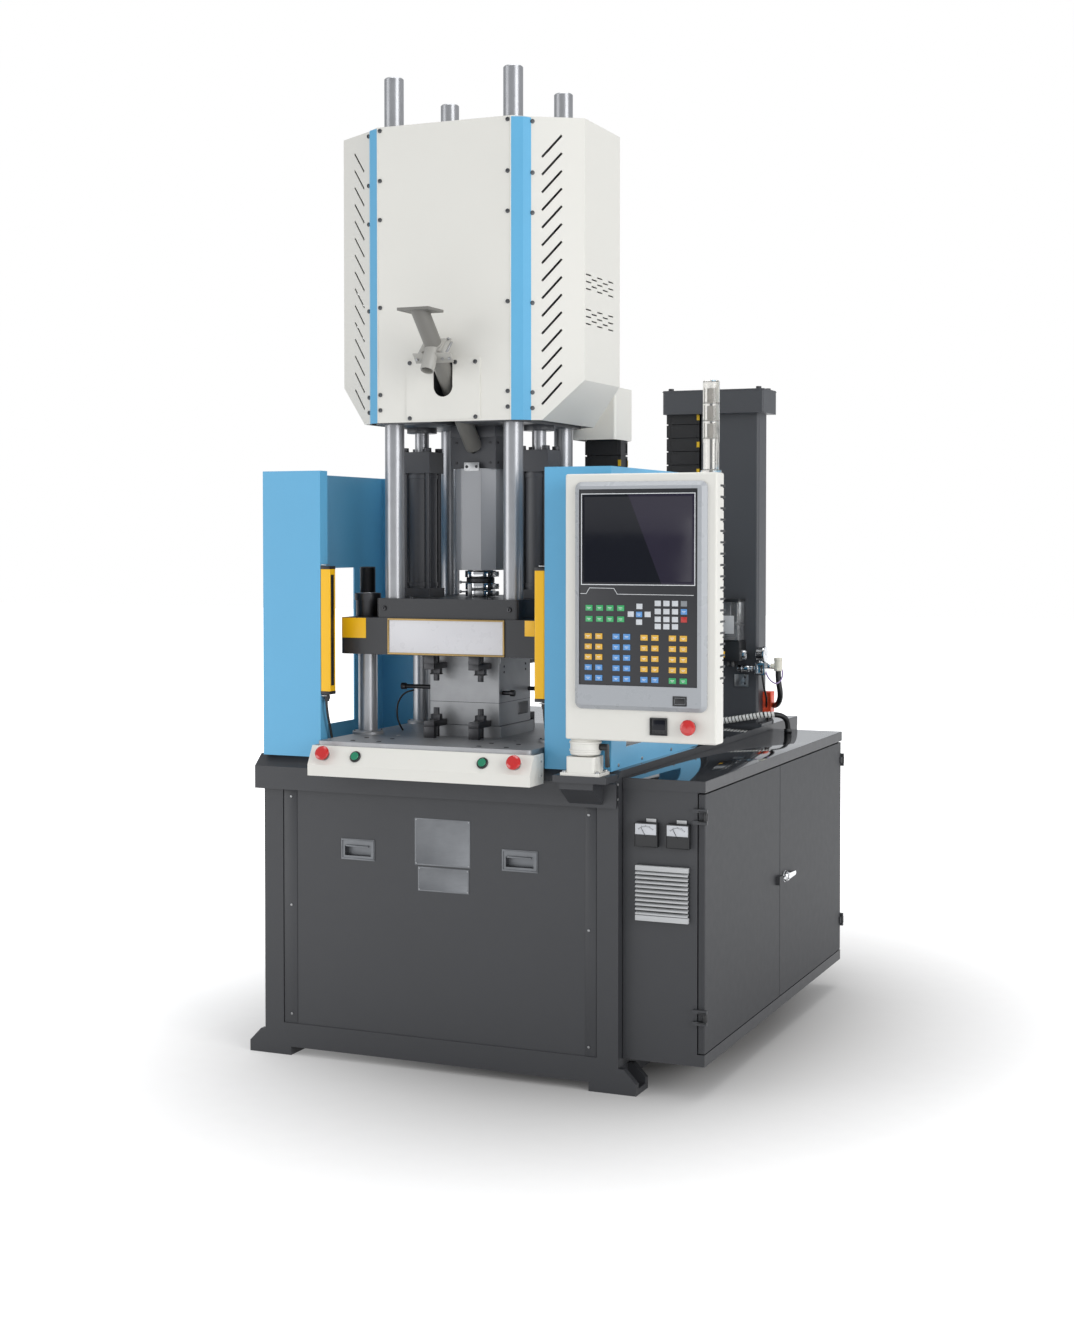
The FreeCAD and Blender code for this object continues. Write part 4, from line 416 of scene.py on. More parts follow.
JET = painted("stoved_black_lacquer", "1A1B1E", 0.09, peel_mm=8.0, depth=0.05,
              coat=1.0)
gloss = [block((-551, -234, 846), (533, 863, 846.6)), block((334, -848, 846), (533, -234, 846.6)),
         block((-551, -848, 846), (-334, -234, 846.6)), block((536, -836, 828), (761, 575, 828.6))]
settle(gloss, "gloss_tops", JET, edge=0.2)

# ----- fixed platen
# A thick plate of tool steel, ground on top and pierced by the four tie bars. The screws round
# each bush and the spare clamping holes are blackened socket screws.

STEEL = machined("ground_tool_steel", "9FA0A2", 0.42, (30, 1, 1), 0.8, metal=0.6)
BLACKED = machined("blackened_steel", "4A4A4C", 0.42, (1, 1, 1), 1.0, depth=0.4)
coat(STEEL, "fixed_platen", "lower_mould", "upper_mould")
bars_at = [(x, y) for x in (-287, 287) for y in (-705.5, -362.5)]
bush_screws = [aim((x + 40 * cos(a), y + 40 * sin(a), 909.05))
               for x, y in bars_at for a in [pi / 4 + pi / 2 * k for k in range(4)]]
row("bush_screws", screw_head(2.6, 2.6), bush_screws, BLACKED)
plugs = grid((-230, -150, 150, 230), (-900, -820, -320, -260), 900)
row("table_hole_plugs", screw_head(7, 1.2), plugs, BLACKED)

# ----- button box
# A folded box along the operator's edge, in off-white powder coat, with a two-hand start and a
# stop at each end. Buttons are glossy acrylic; their rims are black phenolic.


def moulded(name, slot, code, gloss, grain_mm=1.1, depth=0.25, **more):
    """Moulded plastic: an even colour under a fine pitted grain."""
    material = blank(name)
    place = add(material, "TexCoord").outputs["Object"]
    grain = add(material, "TexVoronoi", Vector=place, Scale=1000 / grain_mm).outputs["Distance"]
    tone = noise(material, place, 14.0, 2.0)
    surface(material, linear(code), span(material, tone, 0.96, 1.04),
            span(material, tone, gloss - 0.03, gloss + 0.04), grain, depth, 0.00008, **more)
    return material


def spun(outline, sides=40):
    """Spin an outline of (radius, height) points in mm about the upright line, looking up."""
    deselect()
    mesh = bpy.data.meshes.new("spun")
    mesh.from_pydata([(r / 1000, 0, z / 1000) for r, z in outline],
                     [(i, i + 1) for i in range(len(outline) - 1)], [])
    piece = bpy.data.objects.new("spun", mesh)
    show(piece)
    only(piece)
    mode("EDIT")
    bpy.ops.mesh.select_all(action="SELECT")
    bpy.ops.mesh.spin(steps=sides, angle=2 * pi, center=(0, 0, 0), axis=UP)
    bpy.ops.mesh.select_all(action="SELECT")
    bpy.ops.mesh.remove_doubles(threshold=0.00001)
    bpy.ops.mesh.normals_make_consistent(inside=False)
    mode("OBJECT")
    return piece


def sleeve(inner, outer, low, high, sides=40):
    """A plain ring between two heights in mm, looking up."""
    return spun([(inner, low), (outer, low), (outer, high), (inner, high), (inner, low)], sides)


def stood(piece, place, way=UP):
    """Move a piece modelled at the origin to its place in mm, to look one way."""
    piece.data.transform(aim(place, way))
    return piece


WHITE = painted("off_white_powder_coat", "E3E1DA", 0.40, drift=0.01)
RED = moulded("red_acrylic_button", "red_plastic", "C81E1D", 0.16, depth=0.05, Coat_Weight=0.6)
GREEN = moulded("green_acrylic_button", "green_plastic", "12805C", 0.16, depth=0.05,
                Coat_Weight=0.6)
ABS = moulded("black_abs", "black_plastic", "191A1C", 0.40)
coat(WHITE, "button_box")
coat(RED, "left_stop_button", "right_stop_button", "panel_stop_button")
coat(GREEN, "left_start_button", "right_start_button")
face_way = Vector((0, -0.8799, 0.4752))
rim = [(11.45, 1.3), (11.45, 4.9), (14.2, 4.9), (15.9, 3.1), (15.9, 0.1), (15.6, 0.1),
       (11.45, 1.3)]
start_at, stop_at = [[aim((x, -961, 863), face_way) for x in (-out, out)] for out in (189, 284)]
row("start_button_rims", spun(rim), start_at, ABS)
skirt = [(8.3, 4.6), (14.4, 4.6), (14.4, 0.1), (15.4, 0.1), (15.4, 5.2), (8.3, 5.2), (8.3, 4.6)]
row("stop_button_collars", spun(skirt), stop_at, ZINC)
ends = grid(-330, -900, (830, 868), LEFT) + grid(330, -900, (830, 868), RIGHT)
row("button_box_screws", screw_head(3, 2), ends, ZINC)

# ----- side guards and light curtains
# Guards folded from 4 mm sheet in sky-blue stoved enamel. On the inner edge of each front face
# hangs a light curtain: a yellow aluminium bar with a black window, end caps and a plug.

BLUE = painted("sky_blue_enamel", "63AFD8", 0.36, drift=0.02)
YELLOW = painted("yellow_powder_coat", "F8BE10", 0.36, drift=0.02)
RUBBER = moulded("extruded_rubber", "black_rubber", "151517", 0.46, grain_mm=2.0, depth=0.15)
coat(BLUE, "left_guard", "right_guard")
coat(YELLOW, "light_curtains")
coat(RUBBER, "curtain_cables", "pressure_hose")
window = [block((x, -866, 1046), (x + 1.6, -850, 1353)) for x in (-317.2, 296.4)]
caps = [block((x + 0.5, -871, low), (x + 29.5, -838, high))
        for x in (-347, 298) for low, high in ((1368, 1377), (1021, 1030))]
plugs_at = [(-332, -861.5), (323.5, -861.5)]
stems = [upright(6.5, x, y, 1002, 1021) for x, y in plugs_at]
nuts = [upright(8.5, x, y, 1008, 1016, sides=6) for x, y in plugs_at]
settle(window + caps + stems + nuts, "curtain_windows_caps_and_plugs", ABS)
hooks = [block((x, -869, z), (x + 18, -850, z + 2.5)) for x in (-347, 310) for z in (1379, 1016)]
settle(hooks, "curtain_brackets", ZINC, edge=0.4)
feet_y = (-820, -640, -400, -200)
feet = grid(-530, feet_y, 858, LEFT) + grid(516, feet_y, 858, RIGHT)
row("guard_screws", screw_head(4.5, 3), feet, ZINC)

# ----- mould
# Two halves of plain ground plates, gripped by blackened strap clamps, with core-pull bolts that
# stand out at both sides and eye-bolt holes in the ends.

seams = [block((-107.4, -672.9, z), (107.4, -454.1, z + 1.2)) for z in (995, 931)]
settle(seams, "lower_mould_seams", BLACKED, edge=0)
bolts = [rod(6, (-190, -659, 1034), (-107, -659, 1034)),
         rod(9.5, (-203, -659, 1034), (-189, -659, 1034), sides=24)]
for y, tip in ((-470, 150), (-650, 132)):
    bolts += [rod(6, (107, y, 1023), (tip, y, 1023)), rod(9, (tip, y, 1023), (tip + 12, y, 1023))]
settle(bolts, "mould_side_bolts", BLACKED, edge=0.8)
sockets = grid(107.2, (-640, -490), (1080, 1096), RIGHT)
row("upper_mould_screws", screw_head(3.5, 1), sockets, BLACKED, "platen")
clamps_y = ((-758.9, -674.1, -750.5, -710.5), (-452.9, -368.1, -376.5, -416.5))


def clamps(grip, heel, stud, nut):
    """The four clamps of one mould half, from the heights of their parts in mm."""
    made = []
    for x in (-68, 68):
        for near, far, heel_y, stud_y in clamps_y:
            strap = block((x - 15.4, near, grip), (x + 15.4, far, grip + 16.6))
            made += [sink(strap, UP, 5, 1.5),
                     block((x - 15.4, heel_y - 8.4, heel[0]), (x + 15.4, heel_y + 8.4, heel[1])),
                     upright(8.4, x, stud_y, *stud),
                     upright(16.6, x, stud_y, nut, nut + 16.4, sides=6),
                     upright(19, x, stud_y, nut, nut + 2.5)]
    return joined(made)


lower = clamps(930.7, (900.1, 931), (900.1, 981.4), 947.2)
settle(lower, "lower_mould_clamps", BLACKED, edge=1.2)
upper = clamps(1090.7, (1107, 1130.9), (1056.6, 1130.9), 1074.6)
settle(upper, "upper_mould_clamps", BLACKED, "platen", edge=1.2)

# ----- moving platen
# A thick steel plate and a smaller block on top, both in smooth dark grey enamel. A bare white
# plate in a brass frame is fixed to the front, and a bare yellow one to each front corner.

SMOOTH = painted("smooth_dark_grey_enamel", "292A2D", 0.36, peel_mm=2.4, depth=0.25)
BRASS = machined("machined_brass", "9C8458", 0.42, (1, 1, 0.2), 0.6)
ENAMEL = painted("white_enamelled_plate", "D9D8DB", 0.28, drift=0.008)
coat(SMOOTH, "moving_platen", "platen_head_block")
plate_frame = frame_of((-176, -799.5, 1132.5), (179, -795.4, 1232.5), 5)
settle(plate_frame, "name_plate_frame", BRASS, "platen", edge=1)
plate = block((-171.5, -797.5, 1137), (174.5, -795.4, 1228))
settle(plate, "bare_name_plate", ENAMEL, "platen", edge=0.2)
corner_plates = [block((-320.7, -796.6, 1176), (-244.9, -795.4, 1232)),
                 block((238, -796.6, 1190), (314, -795.4, 1232))]
settle(corner_plates, "bare_corner_plates", YELLOW, "platen", edge=0.2)
cap_screws = grid((-190, 190), -789.5, 1260, FRONT)
cap_screws += grid((-120, 120), (-760, -370), 1287)
row("head_block_screws", screw_head(7, 5), cap_screws, BLACKED, "platen")

# ----- tie bars, nuts and columns
# Hard-chromed, ground and polished bars. The bar ends are threaded and carry round slotted nuts
# of blackened steel, and the fine grinding lines run round each bar.

CHROME = machined("hard_chrome_bar", "A2A3A6", 0.30, (1, 1, 0.2), 1.2, depth=0.01,
                  spread=0.01, metal=0.6)
BRIGHT = machined("bright_chrome_plate", "C9CACC", 0.10, (1, 1, 1), 3.0,
                  depth=0.02, spread=0.02)
coat(CHROME, "tie_bars", "guide_columns")
coat(STEEL, "clamp_crosshead")
nut = spun([(27.5, 1233.1), (33.5, 1233.1), (33.5, 1278.8), (37.5, 1279), (37.5, 1297.2),
            (36, 1298.8), (27.5, 1298.8), (27.5, 1233.1)])
foot, pitch, turns = 1301, 3, 24
thread = [(18, foot)]
for turn in range(turns):
    z = foot + pitch * turn
    thread += [(21.1, z), (22.6, z + pitch / 2)]
thread += [(20, 1373.4), (18, 1373.4), (18, foot)]
row("tie_bar_nuts_and_threads", joined([nut, spun(thread, sides=28)]),
    [aim((x, y, 0)) for x, y in bars_at], BLACKED, "platen")

# ----- carriage cylinders
# Two tie-rod cylinders in satin black: square end blocks, four rods with nuts, and a steel
# elbow and hose at the rear of each.

BLACK = painted("satin_black_enamel", "434448", 0.42)
coat(BLACK, "carriage_cylinders")
lift_x, lift_y = (-183, 183), -568.5
tops = [aim((x + i * 36, lift_y + j * 36, 1700)) for x in lift_x for i in (-1, 1) for j in (-1, 1)]
bolt = joined([upright(11.3, 0, 0, 0, 3.5, sides=24), upright(11, 0, 0, 3, 11.6, sides=6)])
row("cylinder_head_bolts", bolt, tops, BLACKED, "platen", edge=0.8)
wraps = [spun([(43.1, z), (45, z + 0.5), (45, z + 11.5), (43.1, z + 12), (43.1, z)])
         for z in (1316, 1624)]
row("cylinder_end_rings", joined(wraps), grid(lift_x, lift_y, 0), BLACK, "platen")
ports = []
for x in lift_x:
    for z in (1299, 1670):
        ports += [rod(10, (x, -519, z), (x, -500, z), sides=6),
                  rod(7, (x, -502, z), (x, -488, z)), upright(7, x, -490, z - 7, z + 12)]
settle(ports, "cylinder_ports", ZINC, "platen", edge=0.8)

# ----- injection carriage
# A thick plate that runs on the four columns, with a black feed block under it, a folded sheet
# guard in aluminium paint round the barrel, and a heater band clamped round the nozzle.

SHIELD = painted("heat_shield_aluminium_paint", "B2B3B6", 0.34, peel_mm=1.8,
                 drift=0.06)
WARM = painted("chute_aluminium_paint", "ABA9A3", 0.42, peel_mm=1.8)
# The pipe's copy of the aluminium paint is darker than the box's: painted shade.
SHADED_PIPE_PAINT = painted("dull_chute_pipe_paint", "777570", 0.48, peel_mm=1.8)
TURNED = machined("turned_steel", "9C9B99", 0.26, (1, 1, 0.15), 0.8)
coat(BLACK, "feed_block", "injection_cylinders")
coat(SHIELD, "heat_shield")
coat(TURNED, "barrel", "nozzle", "injection_screw")
coat(STEEL, "thrust_plate")
coat(DARK, "screw_motor")


def cut(piece, *tools):
    """Cut tools out of a piece, one after another, and throw the tools away."""
    for tool in tools:
        only(piece)
        bite = piece.modifiers.new("bite", "BOOLEAN")
        bite.object = tool
        bpy.ops.object.modifier_apply(modifier="bite")
        bpy.data.objects.remove(tool)
    return piece


columns_at = [(x, y) for x in (-181, 181) for y in (-742.5, -385.5)]
corner_cuts = [upright(32, x, y, 1760, 1800, sides=4) for y in (-801.5, -326.5)
               for x in (-225, 225)]
slab = cut(block((-225, -801.5, 1769), (225, -326.5, 1790)),
           block((-36, -810, 1760), (36, -597.5, 1800)), *corner_cuts,
           *[upright(28.4, x, y, 1760, 1800, sides=48) for x, y in columns_at])
plate = [slab, block((-69, -616.5, 1737.9), (69, -520.5, 1769.5))]
plate += [upright(43, x, lift_y, 1754, 1769.5, sides=48) for x in lift_x]
plate = settle(plate, "carriage_plate_with_rod_flanges", BLACK, "carriage", edge=1)
rods = [upright(20, x, lift_y, 1341, 1754) for x in lift_x]
rods = settle(rods, "lift_rods", CHROME, "carriage", edge=0)
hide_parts("carriage_plate")
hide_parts("carriage_plate")
heads = grid((-52, 52), -612, (1666, 1722), FRONT)
for x, way in ((69, RIGHT), (-69, LEFT)):
    heads += grid(x, (-596, -532), (1666, 1722), way)
row("feed_block_screws", screw_head(4, 2), heads, BLACKED, "carriage")
tab = sink(block((-21, -628.2, 1643), (25, -626.1, 1667)), FRONT, 2, -0.4)
settle(tab, "shield_tab", ZINC, "carriage", edge=0.3)
heads = grid((-13, 17), -628.6, 1655, FRONT)
row("shield_tab_screws", screw_head(4.2, 2.4), heads, BLACKED, "carriage")
ribs = [block((x - 0.8, -627.4, 1366), (x + 0.8, -625.9, 1648)) for x in (-30.5, 30.5)]
settle(ribs, "shield_folds", SHIELD, "carriage", edge=0.5)
nozzle_at = (0, -564, 0)
bands = joined([sleeve(30.2, outer, low, high) for low, high, outer in (
    (1289, 1306, 43), (1308, 1327, 43), (1343, 1362, 44))])
settle(stood(bands, nozzle_at), "nozzle_heater_bands", BRIGHT, "carriage", edge=1)
groove = spun([(20.3, 1327), (38, 1327), (40, 1330), (40, 1340), (38, 1343), (20.3, 1343),
               (20.3, 1327)])
settle(stood(groove, nozzle_at), "nozzle_adapter", BLACKED, "carriage", edge=0.5)
ears = [block((42, -574, low), (53, -554, high))
        for low, high in ((1291, 1304), (1310, 1325), (1345, 1360))]
ears += [rod(2.4, (-58, -580, z), (-36, -580, z)) for z in (1302, 1329)]
ears += [rod(4.6, (-58, -580, z), (-53, -580, z), sides=6) for z in (1302, 1329)]
ears += [rod(3, (49, -580, z), (49, -549, z)) for z in (1298, 1318, 1352)]
ears += [block((-20, -609, 1291), (-8, -604, 1325)), block((4, -611, 1293), (30, -604, 1306))]
settle(ears, "heater_band_clamps", ZINC, "carriage", edge=0.5)

# ----- hood
# A hood of folded sheet steel in off-white powder coat, slotted for cooling, with blue enamelled
# trims up its front corners. Button-head screws hold the front, the trims and the wings.

coat(WHITE, "hood_shell", "hood_front_panel", "hood_hatch")
coat(BLUE, "hood_corner_trims")
rise = (2574, 2437, 2330, 2089, 1849, 1807)
heads = grid((-193, 192), -804.5, rise, FRONT)
heads += [aim((side * 248.1, -766.5, z - 3), (side * 0.532, -0.846, 0)) for side in (-1, 1)
          for z in rise]
heads += [aim((x, -807.5, z), FRONT) for x, z in (
    (-100.8, 1933.4), (37.4, 1931.7), (97.2, 1931.1), (-100.5, 1782.4), (97.9, 1782.3))]
heads += grid((-190, 190), -323.5, (2560, 2330, 2090, 1920), BACK)
heads += grid((-330, 330), (-640, -480), 2584)
DULL = machined("dulled_zinc_screw", "5E5F61", 0.40, (1, 1, 1), 1.0, depth=0.2)
row("hood_screws", screw_head(6, 3.6), heads, DULL, "carriage")
collar = spun([(28.2, 0), (36, 0), (36, 1.6), (31, 3.4), (28.2, 3.4), (28.2, 0)])
row("column_wipers", collar, [aim((x, y, 2584)) for x, y in columns_at], RUBBER, "carriage")
folds = [block((x, -805.8, 1772), (x + 3.4, -804.4, 2580)) for x in (-202, 198.6)]
settle(folds, "front_panel_folds", WHITE, "carriage", edge=0.4)

# ----- feed chute and gate
# A pipe in aluminium paint with a hopper flange on top, a bolted shut-off box that a flat
# gate slides through, and an open drain spout. Weld beads run round the pipe at the box. The
# pipe's paint is coloured darker than the box's as painted shade.

mouth_y, mouth_z = -943.5, 2055
chute_way = Vector((0, 0.69717, -0.71691))
sheet_way = Vector((0, -0.71691, -0.69717))
spout_way = Vector((0, -0.448, -0.894))


def along_chute(distance, out=0.0, x=0.0):
    """A point so far along the pipe's centre line and out towards the operator, in mm."""
    return Vector((x, mouth_y, mouth_z)) + chute_way * distance + sheet_way * out


def bore(start, end, sides=40):
    """A bar as thick as the pipe's bore, from one place along it to another, in mm."""
    return rod(20, along_chute(start), along_chute(end), sides)


def across_chute(low, high, distance, way=chute_way, out=0.0):
    """A block between two corners in mm, turned square to the pipe at a place along it."""
    return stood(block(low, high), along_chute(distance, out), way)


pipe = cut(rod(24, along_chute(-25), along_chute(479), sides=48),
           block((-60, -1060, 2057.5), (60, -880, 2140)), bore(-50, 490))
flange_holes = [upright(4.5, x, mouth_y + y, 2040, 2070) for x in (-35, 35) for y in (-35, 35)]
mouth = cut(block((-46, -989.5, 2055), (46, -897.5, 2062.5)), *flange_holes, bore(-50, 60))
pipe = settle([pipe, mouth], "chute_pipe", SHADED_PIPE_PAINT, "carriage", edge=0.8)
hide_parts("feed_chute")
body = [across_chute((-27, -26, 0), (27, 26, 26), 112)]
body += [across_chute((-39, -35, 0), (39, 35, 5), d) for d in (119, 128)]
body += [across_chute((-50, -17, 0), (62, 17, 3), 129, sheet_way, 34)]
body = settle(body, "shut_off_body", WARM, "carriage", edge=0.8)
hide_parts("feed_chute")
tube = spun([(16, 0), (19, 0), (19, 72), (18, 74), (16, 74), (16, 0)])
settle(stood(tube, (0, -870.4, 1968.2), spout_way), "drain_spout", WARM, "carriage", edge=0)
gate = cut(across_chute((-44, -24, 0), (44, 24, 3.6), 124.2), bore(110, 140, sides=32))
gate = settle(gate, "gate_plate", STEEL, "gate", edge=0.4)
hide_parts("chute_gate")
heads = [aim(along_chute(119, out, x), -chute_way) for x in (-33, 33) for out in (-30, 30)]
heads += [aim(along_chute(133, out, x), chute_way) for x in (-33, 33) for out in (-30, 30)]
heads += [aim(along_chute(131, 37, x), sheet_way) for x in (-42, 34, 54)]
bolt = joined([upright(4.6, 0, 0, 0, 1), upright(4, 0, 0, 0.8, 4, sides=6)])
row("shut_off_bolts", bolt, heads, ZINC, "carriage", edge=0.4)
bead = spun([(24.1, -2.2), (26, -1), (26, 1), (24.1, 2.2), (24.1, -2.2)])
beads = [aim(along_chute(d), chute_way) for d in (110, 140)]
row("chute_welds", bead, beads, WARM, "carriage")

# ----- electrical cabinet
# A folded cabinet on the machine's right, in the same dark grey coat, with two doors on black
# pin hinges, a chromed lever latch, two dial meters and a pressed louvre. The doors' coat is
# coloured darker as painted shade.

# Painted shade: the doors, which face the key light, take a darker copy of the dark grey coat.
SHADED_DOOR_COAT = painted("door_grey_powder_coat", "2F3033", 0.60, peel_mm=1.4, depth=0.12,
               drift=0.015)
PALE_GREY = painted("pale_grey_powder_coat", "BDBEBF", 0.42)
DIAL = painted("printed_dial_face", "C9CBCF", 0.34, drift=0.006)
coat(DARK, "cabinet_shell", "cabinet_lid")
coat(SHADED_DOOR_COAT, "cabinet_front_door", "cabinet_rear_door")
coat(BRIGHT, "door_lever")
coat(ABS, "panel_meters")
lugs = []
for near, far in ((-843.8, -834), (573, 582.8)):
    for z in (217, 737):
        lugs += [block((744, near, z - 14.5), (766, far, z - 10.3)),
                 block((744, near, z + 10.3), (766, far, z + 14.5))]
settle(lugs, "hinge_lugs", ABS, edge=1)
for body, y in (("front_door", -838), ("rear_door", 577)):
    knuckles = joined([sleeve(3.3, 6.5, z - 10, z + 10) for z in (217, 737)])
    settle(stood(knuckles, (763, y, 0)), body + "_knuckles", ABS, body)
lever_y, lever_z = -91.5, 465
rose = spun([(15.2, 0.2), (17.5, 0.2), (17.5, 3), (15.2, 4), (15.2, 0.2)])
rose = stood(rose, (760, lever_y, lever_z), RIGHT)
settle(rose, "latch_rose", BRIGHT, "rear_door", edge=0.3)
tail = [sink(block((766, -122, 460), (772, lever_y, 470)), FRONT, 2, -6),
        rod(8, (770, lever_y, lever_z), (777, lever_y, lever_z))]
settle(tail, "lever_tail_and_nose", BRIGHT, "latch", edge=1.4)

meters_x, pivot_z, ticks = (603, 690), 679, 12
for x in meters_x:
    dial = block((x - 29, -848.6, 684), (x + 29, -847.4, 712))
    settle(dial, "meter_dial_%d" % x, DIAL, edge=0.2)
    marks = []
    for k in range(ticks + 1):
        a = pi / 4 + pi / 2 * k / ticks
        ends = [(x + far * cos(a), -848.8, pivot_z + far * sin(a))
                for far in (25.5, 28.5 if k % 3 else 30)]
        marks.append(rod(0.5, *ends, sides=6))
    a = radians(118)
    tip = (x + 27 * cos(a), -849, pivot_z + 27 * sin(a))
    marks += [rod(0.7, (x, -849, pivot_z), tip, sides=6),
              block((x - 29, -849.2, 682.5), (x + 29, -847.5, 684))]
    settle(marks, "meter_marks_%d" % x, ABS, edge=0)
labels = [block((x, -837.6, 716), (x + 27, -836.6, 725)) for x in (601, 684.5)]
settle(labels, "bare_meter_labels", PALE_GREY, edge=0.2)
frames = []
for x in meters_x:
    frames += frame_of((x - 32.4, -849.6, 650.6), (x + 32.4, -847.2, 715.4), 2.4)
settle(frames, "meter_rims", ABS, edge=0.6)

# A black plate behind the fins is painted shadow: it darkens the gaps between them.
painted_shadow_plate = block((576, -838.6, 461), (717, -836.9, 601))
settle(painted_shadow_plate, "louvre_shadow_plate", ABS, edge=0.2)
fins = [block((574, -848.5, low), (718.5, -837, high)) for low, high in ((459, 473), (590, 603))]
for k in range(10):
    z = 473.6 + 11.7 * k
    fin = block((574, -848.5, z + 1.2), (718.5, -847.3, z + 5))
    choose(fin, lambda face: face.normal.z > 0.95)
    bpy.ops.mesh.extrude_region_move(TRANSFORM_OT_translate={"value": (0, 0.0085, 0.0035)})
    mode("OBJECT")
    fins.append(fin)
fins = settle(fins, "louvre_fins", PALE_GREY, edge=0.4)
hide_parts("louvre_grille")

# ----- cable tower and drag chain
# A square tower in smooth grey enamel under a wide cap. A black nylon drag chain hangs in a U
# from the tower to the hood, and every second link shows the yellow latches of its cross bars.

CHAIN = moulded("black_nylon_chain", "black_plastic", "1D1D1F", 0.46, grain_mm=1.4)
LATCH = moulded("yellow_nylon_latch", "yellow_paint", "D8B021", 0.40)
TOWER = painted("grey_tower_enamel", "45474B", 0.46, peel_mm=2.2, depth=0.3,
                drift=0.03)
coat(TOWER, "cable_tower")
coat(CHAIN, "drag_chain")


def chain_link():
    """One link, modelled at the origin with its run along Z: cheeks, cross bars and collars."""
    cheeks = [sink(block((x - 5, -28.5, -20), (x + 5, 28.5, 20)), (side, 0, 0), 6, 2.5)
              for x, side in ((-51, -1), (51, 1))]
    bars = [sink(block((-46, y - 3, -21), (46, y + 3, 21)), (0, side, 0), 4, 1.2)
            for y, side in ((-26, -1), (26, 1))]
    collars = [block((x - 6.5, -20, -25), (x + 6.5, 20, -15)) for x in (-47, 47)]
    return joined(cheeks + bars + collars)


def chain_latches():
    """The yellow latches of one link, at the outer end of its cross bars."""
    return joined([block((-57, y, -9), (-48, y + 2, 9)) for y in (-30.4, 28.4)])


chain_x, tower_run_y, hood_run_y, bend_z, pitch, bend_links = 258.5, 481.5, -241.5, 1650, 44, 25
bend_y, bend_radius = (tower_run_y + hood_run_y) / 2, (tower_run_y - hood_run_y) / 2
stations = [aim((chain_x, hood_run_y, z)) for z in range(1850, 1640, -pitch)]
for k in range(bend_links):
    a = pi + pi * (k + 0.5) / bend_links
    turn = Matrix.Rotation(a - pi, 4, "X")
    place = (chain_x, bend_y + bend_radius * cos(a), bend_z + bend_radius * sin(a))
    stations.append(Matrix.Translation(Vector(place) / 1000) @ turn)
stations += [aim((chain_x, tower_run_y, z)) for z in range(1672, 1850, pitch)]
for pattern, name, finish in ((chain_link(), "drag_chain_links", CHAIN),
                              (chain_latches(), "drag_chain_latches", LATCH)):
    run = set_out(pattern, stations if finish is CHAIN else stations[::2])
    dress(run, name, finish)
    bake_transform(run)
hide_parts("drag_chain")

bolt = joined([upright(11, 0, 0, 0, 1.6), upright(9, 0, 0, 1.4, 8, sides=6)])
row("cap_bolts", bolt, grid((220, 517), (447.5, 552.5), 1935), BLACKED, edge=0.6)
lines = [block((197.4, 424.9, 1929.5), (539.6, 426, 1932)),
         block((538.4, 426, 1929.5), (539.8, 574, 1932))]
settle(lines, "cap_drip_edge", BLACK, edge=0.4)
feet = grid((330, 524), 447, 856) + grid(524, (470, 540), 856)
row("tower_foot_bolts", screw_head(6, 4), feet, BLACKED)

# ----- swivel post and panel
# A cast post foot and a pressed steel housing in off-white coat carry the operator panel: a
# silver moulded frame with a glass screen over a printed keyboard film.

coat(WHITE, "panel_post", "panel_housing")
coat(ABS, "clamp_lever")
FRAME = painted("silver_painted_frame", "A7AAAE", 0.28, peel_mm=1.0, drift=0.01)
coat(FRAME, "panel_bezel")
bolt = joined([upright(6.4, 0, 0, 0, 1.2), screw_head(5.6, 5)])
row("post_foot_bolts", bolt, grid((417, 509), (-952, -894), 850), ZINC)
ring = spun([(40.2, 0), (42, 1), (42, 5), (40.2, 6), (40.2, 0)])
row("collar_beads", ring, grid(463, -918.5, (903, 924)), WHITE, "panel")

FILM = painted("printed_polyester_film", "1B1C21", 0.46, peel_mm=0.8,
               depth=0.2, drift=0.008)
face = -977.5
film = block((468.5, face, 1080.5), (785.5, face + 0.9, 1577.5))
settle(film, "keyboard_film", FILM, "panel", edge=0.2)
GLASS = blank("screen_glass")
place = add(GLASS, "TexCoord").outputs["Object"]
# The screen's lighter diagonal half is a painted reflection: two fixed tones split along a slanted
# line.
sheen_line = add(GLASS, "VectorMath", {"operation": "DOT_PRODUCT"}, _0=place, _1=(0.93, 0, 0.37))
painted_sheen_half = add(GLASS, "MapRange", Value=sheen_line.outputs["Value"], _1=1.137, _2=1.139, _3=0, _4=1)
smear = noise(GLASS, place, 30.0, 3.0)
tone = add(GLASS, "MixRGB", _0=painted_sheen_half, _1=linear("0A0D18"), _2=linear("262232"))
surface(GLASS, tone, 1.0, span(GLASS, smear, 0.12, 0.18), smear, 0.02, 0.0001,
        Specular_IOR_Level=0.25)
glass = sink(block((476.5, face - 1.2, 1337), (778, face + 0.1, 1565)), FRONT, 7, 0.6)
settle(glass, "screen_glass", GLASS, "panel", edge=0.3)
PRINT = painted("pale_film_print", "E6E8EA", 0.34, drift=0.004)
line = [(472.3, 1312.4), (488.1, 1312.6), (496.9, 1327.3), (563.3, 1326.5), (572.6, 1312),
        (776.2, 1311)]
strokes = [rod(0.7, (a[0], face - 0.1, a[1]), (b[0], face - 0.1, b[1]), sides=8)
           for a, b in zip(line, line[1:])]
strokes += frame_of((474.5, face - 1.5, 1335), (780, face + 0.1, 1567), 1.8)
settle(strokes, "film_print", PRINT, "panel", edge=0)

